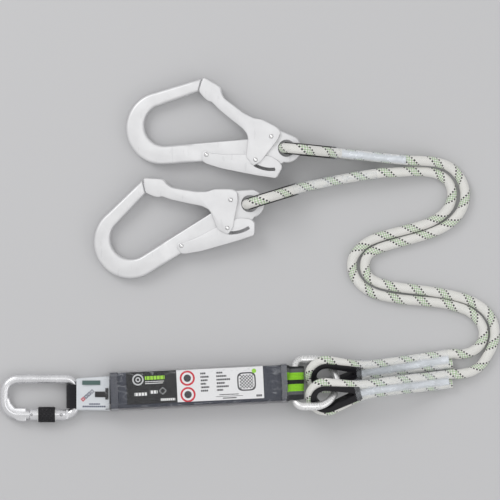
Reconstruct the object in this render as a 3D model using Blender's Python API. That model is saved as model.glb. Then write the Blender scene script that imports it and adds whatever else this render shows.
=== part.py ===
"""Energy absorbing Y lanyard, lying flat: karabiner, folded webbing pack, ring, two ropes and two hooks.

Every length below is in millimetres and is scaled to metres where a mesh is made. The origin is the
centre of the pack's underside on the table, X runs along the pack towards the ring, Z is up.
"""
import math

import bmesh
import bpy
from mathutils import Vector

MM = 0.001

# Photograph frame: the pixel that lies over the origin, and the real size of one pixel.
PHOTO_X = 200.0
PHOTO_Y = 387.5
MM_PER_PIXEL = 1.25

# Gap kept between pieces that touch on the real object.
GAP = 0.3

# Rope and its sewn eyes.
ROPE_RADIUS = 6.0
EYE_RADIUS = 20.0
LEG_ANGLE = math.radians(18.2)
LEG_EASE_START = 31.0
LEG_HALF_PITCH = 6.2
RIGID_LENGTH = 46.0
LEG_TAIL = 4.0
ROPE_LEAD = 4.0
THIMBLE_HOLE = 11.2
THIMBLE_FLOOR = 13.6
THIMBLE_FLANGE = 19.0
THIMBLE_TIP = 45.0
THIMBLE_TIP_HALF = 8.7
THIMBLE_CHAMFER_Z = 3.5
GROOVE_HALF = 6.3
THIMBLE_HALF = 7.3
SLEEVE_START = 40.0
SLEEVE_WALL = 0.4

# Karabiner, lying in its own horizontal plane.
KARABINER_Z = 9.75
BAR_RADIUS = 5.6
KARABINER_LEFT = -244.4
KARABINER_RIGHT = -155.8
KARABINER_TOP = 10.4
KARABINER_GATE_Y = -34.1
KARABINER_SWING_Y = -11.1
LEFT_CORNER = 16.4
RIGHT_CORNER = 12.0
NOSE_X = -214.0
HINGE_X = -173.5
GATE_RADIUS = 7.25
LINER_BORE = 7.55
LINER_RADIUS = 8.15
LINER_RIM = 9.5
RIM_THICKNESS = 0.8
GRIP_RADIUS = 9.75
LOCK_LEFT = -203.4
LOCK_RIGHT = -180.2

# Webbing loops, label sleeve and pack.
WEB_THICKNESS = 2.2
KARABINER_LOOP_WIDTH = 30.0
RING_LOOP_WIDTH = 45.0
# The label sleeve: X, underside, middle Y and half width
SLEEVE_ROWS = ((-149.4, 0.3, -8.5, 20.0), (-142.0, 1.2, -8.2, 20.3), (-130.0, 3.2, -7.8, 20.8),
               (-113.2, 5.8, -7.4, 21.5))
PACK_TURN = math.radians(2.77)
PACK_HALF_LENGTH = 111.5
PACK_RING_END = 106.5
PACK_HALF_WIDTH = 25.0
PACK_HEIGHT = 30.0
PACK_CORNER = 2.5
FILM_WALL = 0.6
STACK_HALF_LENGTH = 103.6
STACK_HALF_WIDTH = 22.0
STACK_MID_Y = 0.8
STACK_LAYERS = 10
STACK_LAYER = 2.35
STACK_GAP = 0.38
STACK_BOTTOM = 1.0

# Ring: its plane is tilted about X, with the far side low.
RING_TILT = math.radians(30.3)
RING_BAR = 4.5
RING_LEFT = 119.0
RING_BOW_X = 142.25
RING_MID_Y = 6.1
RING_HALF_HEIGHT = 29.0
RING_CORNER = 10.0
RING_MID_Z = 23.8
LOOP_TILT = math.radians(24.5)

# Hook, seen along its gate's pivot: origin at the eye, X towards the rope, Y towards the gate.
HOOK_TILT = math.radians(4.0)
HOOK_EYE_Z = 21.5
EYE_HOLE = 10.75
EYE_RIM = 18.0
GATE_PIVOT = (-17.6, 16.4)
GATE_BOSS = 12.0
LOCK_PIN = (-39.7, -11.1)
LEVER_PIVOT = (-100.6, 0.3)
PIN_RADIUS = 2.5
PIN_HOLE = 2.8
PLATE_HALF = 5.0
BEND_HALF = 7.0
LEVER_INNER = 5.3
LEVER_OUTER = 6.8
GATE_INNER = 7.3
GATE_OUTER = 9.3

# Colours: base colour, roughness, metallic.
STEEL = ((0.78, 0.79, 0.80), 0.30, 1.0)
BRIGHT_STEEL = ((0.88, 0.88, 0.88), 0.18, 1.0)
HOOK_METAL = ((0.80, 0.80, 0.79), 0.40, 0.6)
SPRING_STEEL = ((0.55, 0.55, 0.56), 0.35, 1.0)
BLACK_PLASTIC = ((0.02, 0.02, 0.02), 0.35, 0.0)
BLACK_WEBBING = ((0.02, 0.02, 0.02), 0.85, 0.0)
GREY_WEBBING = ((0.13, 0.14, 0.17), 0.85, 0.0)
STRIPED_WEBBING = ((0.25, 0.55, 0.04), 0.80, 0.0)
WHITE_CARD = ((0.80, 0.80, 0.80), 0.60, 0.0)
BLACK_CARD = ((0.01, 0.01, 0.01), 0.50, 0.0)
WHITE_CLOTH = ((0.75, 0.76, 0.76), 0.70, 0.0)
GREEN_TAG = ((0.03, 0.10, 0.06), 0.60, 0.0)
FILM = ((0.60, 0.62, 0.66), 0.15, 0.0)
ROPE = ((0.78, 0.76, 0.66), 0.85, 0.0)


def clear_scene():
    """Removes every object of the open file."""
    for old in list(bpy.data.objects):
        bpy.data.objects.remove(old, do_unlink=True)


def from_photo(px, py):
    """The table position in millimetres under a pixel of the photograph."""
    return (px - PHOTO_X) * MM_PER_PIXEL, (PHOTO_Y - py) * MM_PER_PIXEL


# Materials and objects

def material(name, look):
    """A Principled material of one colour, roughness and metallic value."""
    colour, roughness, metallic = look
    made = bpy.data.materials.new(name)
    made.use_nodes = True
    shader = made.node_tree.nodes["Principled BSDF"]
    shader.inputs["Base Color"].default_value = (*colour, 1.0)
    shader.inputs["Roughness"].default_value = roughness
    shader.inputs["Metallic"].default_value = metallic
    made.diffuse_color = (*colour, 1.0)
    return made


def empty(name, location, rotation=(0.0, 0.0, 0.0)):
    """A frame that pieces are parented to."""
    frame = bpy.data.objects.new(name, None)
    frame.location = Vector(location) * MM
    frame.rotation_euler = rotation
    frame.empty_display_size = 0.02
    bpy.context.collection.objects.link(frame)
    return frame


def add(name, bm, look=None, parent=None, origin=(0.0, 0.0, 0.0)):
    """Turns a millimetre mesh into an object whose origin is the given point of its parent's frame."""
    origin = Vector(origin)
    for vert in bm.verts:
        vert.co = (vert.co - origin) * MM
    bmesh.ops.recalc_face_normals(bm, faces=bm.faces)
    mesh = bpy.data.meshes.new(name)
    bm.to_mesh(mesh)
    bm.free()
    piece = bpy.data.objects.new(name, mesh)
    piece.location = origin * MM
    piece.parent = parent
    bpy.context.collection.objects.link(piece)
    if look:
        mesh.shade_smooth()
        mesh.set_sharp_from_angle(angle=math.radians(35.0))
        mesh.materials.append(material(name, look))
    return piece


def combine(piece, bm, operation="DIFFERENCE"):
    """Cuts a solid out of a piece, or joins it on, with both given in the piece's parent frame."""
    cutter = add(piece.name + "_tool", bm, parent=piece.parent)
    cutter.hide_render = True
    cutter.display_type = "WIRE"
    step = piece.modifiers.new(operation.title(), "BOOLEAN")
    step.operation = operation
    step.object = cutter
    step.solver = "EXACT"


# Shapes, all in millimetres

def arc(centre, radius, start, stop, steps):
    """Points along an arc from one angle to another, in degrees, both ends included."""
    angles = [math.radians(start + (stop - start) * i / steps) for i in range(steps + 1)]
    return [(centre[0] + radius * math.cos(t), centre[1] + radius * math.sin(t)) for t in angles]


def circle(radius, sides):
    """Points once round a circle about the origin."""
    return arc((0.0, 0.0), radius, 0.0, 360.0 * (1 - 1 / sides), sides - 1)


def rounded_box(half_x, half_y, corner, steps=3):
    """A rectangle with round corners, centred on the origin."""
    points = []
    for index, (sign_x, sign_y) in enumerate([(1, 1), (-1, 1), (-1, -1), (1, -1)]):
        centre = (sign_x * (half_x - corner), sign_y * (half_y - corner))
        points += arc(centre, corner, 90.0 * index, 90.0 * (index + 1), steps)
    return points


def area(outline):
    """Signed area of a flat outline."""
    pairs = zip(outline, outline[1:] + outline[:1])
    return sum(p[0] * q[1] - q[0] * p[1] for p, q in pairs) / 2


def inset(outline, distance):
    """The outline moved inwards by a distance, corner by corner."""
    inward = 1.0 if area(outline) > 0 else -1.0
    moved = []
    for before, point, after in zip(outline[-1:] + outline[:-1], outline, outline[1:] + outline[:1]):
        first = (Vector(point) - Vector(before)).normalized()
        second = (Vector(after) - Vector(point)).normalized()
        middle = (first + second).normalized()
        stretch = max(middle.dot(second), 0.5)
        normal = Vector((-middle.y, middle.x)) * inward
        moved.append(tuple(Vector(point) + normal * distance / stretch))
    return moved


def loft(rings, closed=False):
    """Skins a row of rings with equal point counts; the row is capped, or closed into a loop."""
    bm = bmesh.new()
    rows = [[bm.verts.new(point) for point in ring] for ring in rings]
    count = len(rows[0])
    pairs = list(zip(rows, rows[1:]))
    if closed:
        pairs.append((rows[-1], rows[0]))
    for lower, upper in pairs:
        for i in range(count):
            j = (i + 1) % count
            bm.faces.new((lower[i], lower[j], upper[j], upper[i]))
    if not closed:
        bm.faces.new(rows[0])
        bm.faces.new(rows[-1])
    return bm


def prism(outline, low, high, chamfer=0.0):
    """An outline in the XY plane pulled up from one height to another, its edges chamfered."""
    if chamfer:
        small = inset(outline, chamfer)
        layers = [(small, low), (outline, low + chamfer), (outline, high - chamfer), (small, high)]
    else:
        layers = [(outline, low), (outline, high)]
    return loft([[(x, y, z) for x, y in ring] for ring, z in layers])


def upright_cylinder(centre, radius, low, high, sides=20, chamfer=0.0):
    """A cylinder along Z."""
    outline = [(centre[0] + x, centre[1] + y) for x, y in circle(radius, sides)]
    return prism(outline, low, high, chamfer)


def turned_x(profile, centre, sides=20):
    """A solid turned about a line along X, from a list of (x, radius)."""
    return loft([[(x, centre[0] + p, centre[1] + q) for p, q in circle(r, sides)] for x, r in profile])


def box(low, high):
    """A box between two corners."""
    return prism([(low[0], low[1]), (high[0], low[1]), (high[0], high[1]), (low[0], high[1])], low[2], high[2])


def bar(points, flat_normal, radius, sides, closed=False):
    """A round bar along points that lie in one plane."""
    count = len(points)
    rings = []
    for i, point in enumerate(points):
        before = points[i - 1] if i or closed else point
        after = points[(i + 1) % count] if i < count - 1 or closed else point
        across = (after - before).normalized().cross(flat_normal)
        rings.append([point + flat_normal * p + across * q for p, q in circle(radius, sides)])
    return loft(rings, closed)


def tube_curve(name, points, radius, resolution, look, parent=None):
    """A round tube along points, as a curve with a bevel and filled caps."""
    data = bpy.data.curves.new(name, "CURVE")
    data.dimensions = "3D"
    data.bevel_depth = radius * MM
    data.bevel_resolution = resolution
    data.use_fill_caps = True
    spline = data.splines.new("POLY")
    spline.points.add(len(points) - 1)
    for slot, point in zip(spline.points, points):
        slot.co = (*(Vector(point) * MM), 1.0)
    spline.use_smooth = True
    data.materials.append(material(name, look))
    piece = bpy.data.objects.new(name, data)
    piece.parent = parent
    bpy.context.collection.objects.link(piece)
    return piece


def smooth_route(route, per_span):
    """Points of a smooth curve through the route, several for each span."""
    ends = [route[0] * 2 - route[1], *route, route[-1] * 2 - route[-2]]
    points = []
    for a, b, c, d in zip(ends, ends[1:], ends[2:], ends[3:]):
        for step in range(per_span):
            t = step / per_span
            points.append(((b * 2) + (c - a) * t + (a * 2 - b * 5 + c * 4 - d) * t * t
                           + (b * 3 - a - c * 3 + d) * t ** 3) / 2)
    return points + [route[-1]]


def ease(value):
    """A smooth step from 0 to 1."""
    value = min(max(value, 0.0), 1.0)
    return value * value * (3.0 - 2.0 * value)


# Karabiner

def karabiner_centre_line():
    """The bar's centre line from the gate hinge round to the nose."""
    top, bottom, left, right = KARABINER_TOP, KARABINER_GATE_Y, KARABINER_LEFT, KARABINER_RIGHT
    outline = [(HINGE_X, bottom)]
    outline += arc((right - RIGHT_CORNER, bottom + RIGHT_CORNER), RIGHT_CORNER, -90, 0, 6)
    outline += arc((right - RIGHT_CORNER, top - RIGHT_CORNER), RIGHT_CORNER, 0, 90, 6)
    outline += arc((left + LEFT_CORNER, top - LEFT_CORNER), LEFT_CORNER, 90, 180, 7)
    outline += arc((left + LEFT_CORNER, bottom + LEFT_CORNER), LEFT_CORNER, 180, 270, 7)
    outline += [(NOSE_X, bottom)]
    return [Vector((x, y, 0.0)) for x, y in outline]


def karabiner_head():
    """The frame's wide end beside the gate, seen from above."""
    end, inside, outside = NOSE_X - 3.3, -25.7, -42.5
    return [(end, outside), (end, inside), (-231.8, inside), (-236.8, -19.0), (-240.0, -22.0),
            (-238.0, -31.0), (-233.5, -37.5), (-229.4, -41.0), (-224.0, outside)]


def make_karabiner():
    """Frame, hinged gate with its pins, plunger and spring, and the screw lock on the gate."""
    frame = empty("karabiner", (0.0, 0.0, KARABINER_Z))
    hinge = (HINGE_X, KARABINER_GATE_Y)
    latch = (HINGE_X - 37.0, KARABINER_GATE_Y)
    shoulder, tongue, tongue_half = 9.6, 5.3, 2.0
    pin, pin_hole, latch_pin, latch_hole = 1.6, 1.9, 1.2, 1.5
    beyond = 9.0

    body = add("karabiner_frame", bar(karabiner_centre_line(), Vector((0, 0, 1)), BAR_RADIUS, 16),
               STEEL, frame, (KARABINER_RIGHT, KARABINER_SWING_Y, 0.0))
    combine(body, upright_cylinder(hinge, shoulder, tongue_half, beyond))
    combine(body, upright_cylinder(hinge, shoulder, -beyond, -tongue_half))
    combine(body, upright_cylinder(hinge, tongue, -tongue_half, tongue_half), "UNION")
    combine(body, upright_cylinder(hinge, pin_hole, -beyond, beyond))
    head_half, head_chamfer = 4.8, 1.6
    combine(body, prism(karabiner_head(), -head_half, head_half, head_chamfer), "UNION")
    claw_low = (NOSE_X - 2.0, KARABINER_GATE_Y - 4.2, -1.5)
    claw_high = (NOSE_X + 7.2, KARABINER_GATE_Y + 3.0, 1.5)
    combine(body, box(claw_low, claw_high), "UNION")
    combine(body, box((latch[0] - 1.7, latch[1] - 1.8, -3.0), (latch[0] + 1.7, latch[1] + 8.0, 3.0)))

    gate_line = (KARABINER_GATE_Y, 0.0)
    tube = [(-39.5, GATE_RADIUS - 0.5), (-39.0, GATE_RADIUS), (5.4, GATE_RADIUS), (6.0, GATE_RADIUS - 0.6)]
    gate = add("karabiner_gate", turned_x([(HINGE_X + x, r) for x, r in tube], gate_line, 20),
               STEEL, frame, (*hinge, 0.0))
    combine(gate, box((HINGE_X - 8.0, -50.0, -2.3), (HINGE_X + 8.0, -20.0, 2.3)))
    combine(gate, box((HINGE_X - 41.0, -50.0, -1.8), (HINGE_X - 32.0, -20.0, 1.8)))
    combine(gate, turned_x([(HINGE_X - 29.0, 3.0), (HINGE_X - 5.2, 3.0)], gate_line, 12))
    combine(gate, upright_cylinder(hinge, pin_hole, -beyond, beyond, 12))
    combine(gate, upright_cylinder(latch, latch_hole, -beyond, beyond, 10))

    add("karabiner_gate_pin", upright_cylinder(hinge, pin, -7.0, 7.0, 12, 0.2), BRIGHT_STEEL, frame)
    add("karabiner_latch_pin", upright_cylinder(latch, latch_pin, -5.5, 5.5, 10),
        BRIGHT_STEEL, frame, (*hinge, 0.0))
    plunger = [(HINGE_X - 15.0, 2.6), (HINGE_X - 5.8, 2.6)]
    add("karabiner_gate_plunger", turned_x(plunger, gate_line, 12), SPRING_STEEL, frame, (*hinge, 0.0))
    turns = 4
    coil = []
    for step in range(turns * 8 + 1):
        angle = math.radians(45.0 * step)
        x = HINGE_X - 28.2 + 12.4 * step / (turns * 8)
        coil.append((x, KARABINER_GATE_Y + 2.1 * math.cos(angle), 2.1 * math.sin(angle)))
    tube_curve("karabiner_gate_spring", coil, 0.45, 0, SPRING_STEEL, frame)

    make_lock(frame, gate_line)


def ring_about_x(sections, centre):
    """A closed ring about a line along X, from one list of (x, radius) for each step round it."""
    rings = []
    for section, (p, q) in zip(sections, circle(1.0, len(sections))):
        rings.append([(x, centre[0] + p * r, centre[1] + q * r) for x, r in section])
    return loft(rings, closed=True)


def make_lock(frame, centre):
    """The screw lock: a metal liner with a rim at each end, and the ridged grip round it."""
    left, right = LOCK_LEFT + RIM_THICKNESS, LOCK_RIGHT - RIM_THICKNESS
    liner = [(LOCK_LEFT, LINER_BORE), (LOCK_RIGHT, LINER_BORE), (LOCK_RIGHT, LINER_RIM), (right, LINER_RIM),
             (right, LINER_RADIUS), (left, LINER_RADIUS), (left, LINER_RIM), (LOCK_LEFT, LINER_RIM)]
    origin = (HINGE_X, centre[0], 0.0)
    add("karabiner_lock_sleeve", ring_about_x([liner] * 24, centre), BRIGHT_STEEL, frame, origin)

    left, right, bore, edge = left + GAP, right - GAP, LINER_RADIUS + GAP, 0.7
    ridges, groove = 18, 0.6
    sections = []
    for step in range(2 * ridges):
        outer = GRIP_RADIUS - groove * (step % 2)
        sections.append([(left, bore), (right, bore), (right, outer - edge), (right - edge, outer),
                         (left + edge, outer), (left, outer - edge)])
    add("karabiner_lock_grip", ring_about_x(sections, centre), BLACK_PLASTIC, frame, origin)


# Webbing, pack and label sleeve

def strip(path, width, centre_y, tilt, thickness=WEB_THICKNESS):
    """A webbing strip along (x, z) points, its width across them, turned about X by a tilt."""
    rings = []
    for i, (x, z) in enumerate(path):
        before = path[max(i - 1, 0)]
        after = path[min(i + 1, len(path) - 1)]
        along = Vector((after[0] - before[0], 0.0, after[1] - before[1])).normalized()
        across = Vector((0.0, math.cos(tilt(x)), -math.sin(tilt(x))))
        normal = along.cross(across).normalized()
        middle = Vector((x, centre_y(x), z))
        half_w, half_t = width / 2, thickness / 2
        rings.append([middle + across * half_w * p + normal * half_t * q
                      for p, q in ((1, 1), (-1, 1), (-1, -1), (1, -1))])
    return loft(rings)


def pack_line(x):
    """The pack's centre line, as Y over X."""
    return x * math.tan(PACK_TURN)


def karabiner_loop_line(x):
    """The left loop's centre line, which bends towards the karabiner's middle."""
    share = ease((-113.0 - x) / 40.0)
    return pack_line(x) * (1 - share) + KARABINER_SWING_Y * share


def make_karabiner_loop():
    """The black loop round the karabiner's end bar, both layers reaching into the pack."""
    turn = arc((0.0, 0.0), 1.0, 90.0, 270.0, 10)
    reach, rise, drop = 10.4, 10.6, 8.4
    bend = [(KARABINER_RIGHT + reach * x, KARABINER_Z + (rise if z > 0 else drop) * z) for x, z in turn]
    upper = [(-104.6, 21.0), (-120.0, 20.2), (-135.0, 18.9), (-149.4, 18.1)]
    lower = [(-149.4, 2.6), (-135.0, 5.0), (-120.0, 8.0), (-104.6, 9.0)]
    path = upper + bend + lower
    add("karabiner_webbing_loop", strip(path, KARABINER_LOOP_WIDTH, karabiner_loop_line, lambda x: 0.0),
        BLACK_WEBBING)


def make_ring_loop():
    """The striped loop round the ring's straight bar, twisting to follow the ring."""
    turn = arc((0.0, 0.0), 1.0, 90.0, -90.0, 10)
    bend = [(RING_LEFT + 10.5 * x, RING_MID_Z + 10.2 * z) for x, z in turn]
    upper = [(105.4, 22.5), (108.5, 24.5), (111.5, 28.4), (114.6, 32.4)]
    lower = [(114.6, 12.6), (111.5, 11.4), (108.5, 10.2), (105.4, 9.0)]

    def tilt(x):
        return LOOP_TILT * ease((x - 107.5) / 5.5)

    add("ring_webbing_loop", strip(upper + bend + lower, RING_LOOP_WIDTH, pack_line, tilt), STRIPED_WEBBING)


def sleeve_top(x):
    """Height of the label sleeve's top face."""
    return 20.4 + (x + 149.4) * 0.07


def make_label_sleeve():
    """The white sleeve round both layers of the karabiner loop, with its tag and tab."""
    wall = 0.7
    outer, inner = [], []
    for x, low, middle_y, half_width in SLEEVE_ROWS:
        high = sleeve_top(x)
        middle = Vector((x, middle_y, (low + high) / 2))
        half = (high - low) / 2
        for rows, less in ((outer, 0.0), (inner, wall)):
            section = rounded_box(half_width - less, half - less, 3.0 - less)
            rows.append([middle + Vector((0.0, y, z)) for y, z in section])
    add("label_sleeve", loft(outer + inner[::-1], closed=True), WHITE_CLOTH)

    def patch(name, corners, look):
        rows = []
        for x, y_low, y_high in corners:
            base = sleeve_top(x) + GAP
            rows.append([(x, y_low, base), (x, y_high, base), (x, y_high, base + 0.6), (x, y_low, base + 0.6)])
        add(name, loft(rows), look)

    patch("sleeve_tag", [(-147.0, 3.4, 8.8), (-124.6, 3.4, 8.8)], GREEN_TAG)
    patch("sleeve_tab", [(-131.2, -11.9, -5.0), (-118.3, -11.9, -5.0), (-118.2, -14.9, -0.6),
                         (-114.4, -14.9, -0.6)], BLACK_CARD)


def stack_outline():
    """The folded webbing's profile in X and Z: one strip laid to and fro, both ends on the left."""
    pitch = STACK_LAYER + STACK_GAP
    half = STACK_LAYER / 2
    bottom = STACK_BOTTOM + half
    top = bottom + (STACK_LAYERS - 1) * pitch
    under = [(-STACK_HALF_LENGTH, bottom - half)]
    over = [(-STACK_HALF_LENGTH, bottom + half)]
    for fold in range(STACK_LAYERS - 1):
        side = 1 if fold % 2 == 0 else -1
        centre = (STACK_HALF_LENGTH - pitch, bottom + (fold + 0.5) * pitch)
        wide = [(side * x, z) for x, z in arc(centre, pitch / 2 + half, -90.0, 90.0, 4)]
        tight = [(side * x, z) for x, z in arc(centre, pitch / 2 - half, -90.0, 90.0, 2)]
        under += wide if side > 0 else tight
        over += tight if side > 0 else wide
    under.append((-STACK_HALF_LENGTH, top + half))
    over.append((-STACK_HALF_LENGTH, top - half))
    return under + over[::-1]


def make_pack():
    """Clear film, the folded tear webbing inside it and the two label cards under the film."""
    frame = empty("pack", (0.0, 0.0, 0.0), (0.0, 0.0, PACK_TURN))
    outer, inner = [], []
    stations = [(-PACK_HALF_LENGTH, 2.5), (-105.0, 0.0), (101.0, 0.0), (PACK_RING_END, 1.0)]
    for x, less in stations:
        half_z = PACK_HEIGHT / 2
        for rows, wall in ((outer, 0.0), (inner, FILM_WALL)):
            section = rounded_box(PACK_HALF_WIDTH - less - wall, half_z - wall, PACK_CORNER - wall)
            rows.append([(x, y, half_z + z) for y, z in section])
    add("pack_film", loft(outer + inner[::-1], closed=True), FILM, frame)

    edges = (STACK_MID_Y - STACK_HALF_WIDTH, STACK_MID_Y + STACK_HALF_WIDTH)
    rings = [[(x, y, z) for x, z in stack_outline()] for y in edges]
    add("absorber_webbing", loft(rings), GREY_WEBBING, frame)

    low, high, near, far = 28.2, 28.8, -16.8, 23.2
    left, middle, right = -91.5, -28.6, 79.6
    add("label_panel_dark", box((left, near, low), (middle - GAP, far, high)), BLACK_CARD, frame)
    add("label_panel_light", box((middle, near, low), (right, far, high)), WHITE_CARD, frame)


# Ring

def make_ring():
    """The closed ring: a straight bar in the webbing loop and a round bow for the two rope eyes."""
    slope = 1 / math.cos(RING_TILT)
    side = RING_LEFT - RING_BOW_X
    outline = arc((0.0, 0.0), RING_HALF_HEIGHT, -90.0, 90.0, 16)
    outline += arc((side + RING_CORNER, RING_HALF_HEIGHT - RING_CORNER), RING_CORNER, 90.0, 180.0, 4)
    outline += arc((side + RING_CORNER, RING_CORNER - RING_HALF_HEIGHT), RING_CORNER, 180.0, 270.0, 4)
    frame = empty("ring_plane", (RING_BOW_X, RING_MID_Y, RING_MID_Z), (-RING_TILT, 0.0, 0.0))
    points = [Vector((x, y * slope, 0.0)) for x, y in outline]
    add("webbing_ring", bar(points, Vector((0, 0, 1)), RING_BAR, 14, closed=True), STEEL, frame, (side, 0.0, 0.0))


# Rope eyes with their thimbles and clear sleeves

class Splice:
    """One sewn rope eye: where the eye lies, and how its two legs run on to the sleeve's end."""

    def __init__(self, name, eye, heading, pitch, roll, end, end_heading, end_roll, stretch):
        self.name = name
        self.eye = Vector(eye)
        flat = math.cos(pitch)
        self.axis = Vector((math.cos(heading) * flat, math.sin(heading) * flat, math.sin(pitch)))
        self.roll = roll
        self.end = Vector(end)
        self.end_axis = Vector((math.cos(end_heading), math.sin(end_heading), 0.0))
        self.end_roll = end_roll
        self.stretch = stretch
        self.length = RIGID_LENGTH + (self.end - self.at_eye(RIGID_LENGTH)).length

    def at_eye(self, along):
        return self.eye + self.axis * along

    def frame(self, along):
        """Centre, direction, direction to the running leg and normal, at a distance from the eye."""
        start = self.at_eye(RIGID_LENGTH)
        span = self.length - RIGID_LENGTH
        t = (along - RIGID_LENGTH) / span
        if t <= 0.0:
            centre, axis, roll = self.at_eye(along), self.axis, self.roll
        elif t >= 1.0:
            centre, axis, roll = self.end + self.end_axis * (along - self.length), self.end_axis, self.end_roll
        else:
            first, last = self.axis * span * self.stretch, self.end_axis * span * self.stretch
            centre = (start * (2 * t ** 3 - 3 * t * t + 1) + first * (t ** 3 - 2 * t * t + t)
                      + self.end * (3 * t * t - 2 * t ** 3) + last * (t ** 3 - t * t))
            axis = (start * (6 * t * t - 6 * t) + first * (3 * t * t - 4 * t + 1)
                    + self.end * (6 * t - 6 * t * t) + last * (3 * t * t - 2 * t)).normalized()
            roll = self.roll + (self.end_roll - self.roll) * ease(t)
        level = Vector((0, 0, 1)).cross(axis).normalized()
        upward = axis.cross(level)
        side = level * math.cos(roll) + upward * math.sin(roll)
        return centre, axis, side, axis.cross(side)

    def point(self, along, aside, out=0.0):
        centre, _, side, normal = self.frame(along)
        return centre + side * aside + normal * out

    def far_stops(self):
        """Distances past the thimble where the legs and the sleeve share their cross sections."""
        first = [RIGID_LENGTH, 54.0, 62.0]
        remaining = self.length - first[-1]
        return first + [first[-1] + remaining * i / 4 for i in range(1, 5)]

    def running_end(self):
        return self.point(self.length + LEG_TAIL, LEG_HALF_PITCH)


def leg_offset(along):
    """How far each leg's centre line lies from the splice's axis."""
    slope = math.tan(LEG_ANGLE)
    at_ease = (EYE_RADIUS - LEG_EASE_START * math.sin(LEG_ANGLE)) / math.cos(LEG_ANGLE)
    span = 2 * (at_ease - LEG_HALF_PITCH) / slope
    if along <= LEG_EASE_START:
        return (EYE_RADIUS - along * math.sin(LEG_ANGLE)) / math.cos(LEG_ANGLE)
    past = min(along - LEG_EASE_START, span)
    return at_ease - slope * past + slope * past * past / (2 * span)


def teardrop(radius, tip, tip_half, arc_steps=12, leg_steps=3):
    """A round eye with straight legs to a blunt tip, with equal point counts for every size."""
    reach = math.hypot(tip, tip_half)
    touch = math.degrees(math.atan2(tip_half, tip) + math.acos(radius / reach))
    round_part = arc((0.0, 0.0), radius, touch, 360.0 - touch, arc_steps)
    lower_end, upper_end = Vector(round_part[-1]), Vector(round_part[0])
    lower_tip, upper_tip = Vector((tip, -tip_half)), Vector((tip, tip_half))
    lower = [tuple(lower_end.lerp(lower_tip, i / leg_steps)) for i in range(1, leg_steps + 1)]
    upper = [tuple(upper_tip.lerp(upper_end, i / leg_steps)) for i in range(leg_steps)]
    return round_part + lower + upper


def make_thimble(splice):
    """The grooved teardrop that the rope lies round."""
    hole = teardrop(THIMBLE_HOLE, 35.5, 0.8)
    mouth = teardrop(THIMBLE_FLOOR - 0.1, 37.5, 1.6)
    floor = teardrop(THIMBLE_FLOOR, 41.5, 0.4)
    flange = teardrop(THIMBLE_FLANGE, THIMBLE_TIP, THIMBLE_TIP_HALF)
    rings = []
    for inner, lip, base, rim in zip(hole, mouth, floor, flange):
        section = [(inner, -THIMBLE_CHAMFER_Z), (lip, -THIMBLE_HALF), (rim, -THIMBLE_HALF), (rim, -GROOVE_HALF),
                   (base, -GROOVE_HALF), (base, GROOVE_HALF), (rim, GROOVE_HALF), (rim, THIMBLE_HALF),
                   (lip, THIMBLE_HALF), (inner, THIMBLE_CHAMFER_Z)]
        rings.append([splice.point(p[0], p[1], out) for p, out in section])
    add(splice.name + "_thimble", loft(rings, closed=True), BLACK_PLASTIC)


def make_rope_eye(splice):
    """The rope round the thimble, with its running leg and its cut leg."""
    touch = 90.0 - math.degrees(LEG_ANGLE)
    stops = [12.0, 22.0, LEG_EASE_START, 38.0]
    stops += splice.far_stops() + [splice.length + LEG_TAIL]
    running = [(a, leg_offset(a)) for a in reversed(stops)]
    path = running + arc((0.0, 0.0), EYE_RADIUS, touch, 360.0 - touch, 15) + [(a, -leg_offset(a)) for a in stops]
    points = [splice.point(along, aside) for along, aside in path]
    tube_curve(splice.name + "_rope_eye", points, ROPE_RADIUS, 2, ROPE)


def make_splice_sleeve(splice):
    """The clear sleeve over the sewn legs and the thimble's tip."""
    outer, inner = [], []
    for along in [SLEEVE_START] + splice.far_stops():
        over_tip = 1 - ease((along - RIGID_LENGTH) / 8.0)
        half_width = leg_offset(along) + ROPE_RADIUS + GAP
        half_height = ROPE_RADIUS + GAP + (THIMBLE_HALF - ROPE_RADIUS + 0.3) * over_tip
        for rows, wall in ((outer, SLEEVE_WALL), (inner, 0.0)):
            corner = half_height + wall - 0.4 - 2.2 * over_tip
            section = rounded_box(half_width + wall, half_height + wall, corner)
            rows.append([splice.point(along, aside, out) for aside, out in section])
    add(splice.name + "_sleeve", loft(outer + inner[::-1], closed=True), FILM)


# Hooks

def bend_arcs():
    """The hook's round bend, from the spine's upper edge round the arm's end to the lower edge."""
    inner = arc((-149.5, 41.5), 26.3, 270.0, 114.0, 12)
    outer = arc((-153.0, 38.0), 45.4, 96.3, 270.0, 14)
    return inner + [(-103.5, 80.3), (-98.3, 95.7)] + outer


def hook_outline():
    """The forged body: eye, gate boss, spine, round bend and arm."""
    rim = arc((0.0, 0.0), EYE_RIM, -106.0, 44.0, 10)
    boss = arc(GATE_PIVOT, GATE_BOSS, 40.0, 170.0, 6)
    belly = arc(GATE_PIVOT, 36.5, 221.0, 288.0, 6)
    return rim + boss + [(-46.0, 15.4)] + bend_arcs() + [(-60.0, -7.6)] + belly


def bend_outline():
    """The thicker part of the body: the spine's far end, the bend and the arm."""
    return [(-112.0, 15.3)] + bend_arcs() + [(-112.0, -7.5)]


def nose_outline():
    """The tongue on the arm's end that the gate's channel closes over."""
    return [(-106.0, 82.0), (-91.0, 84.5), (-86.0, 87.5), (-87.5, 91.0), (-104.0, 93.0)]


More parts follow.
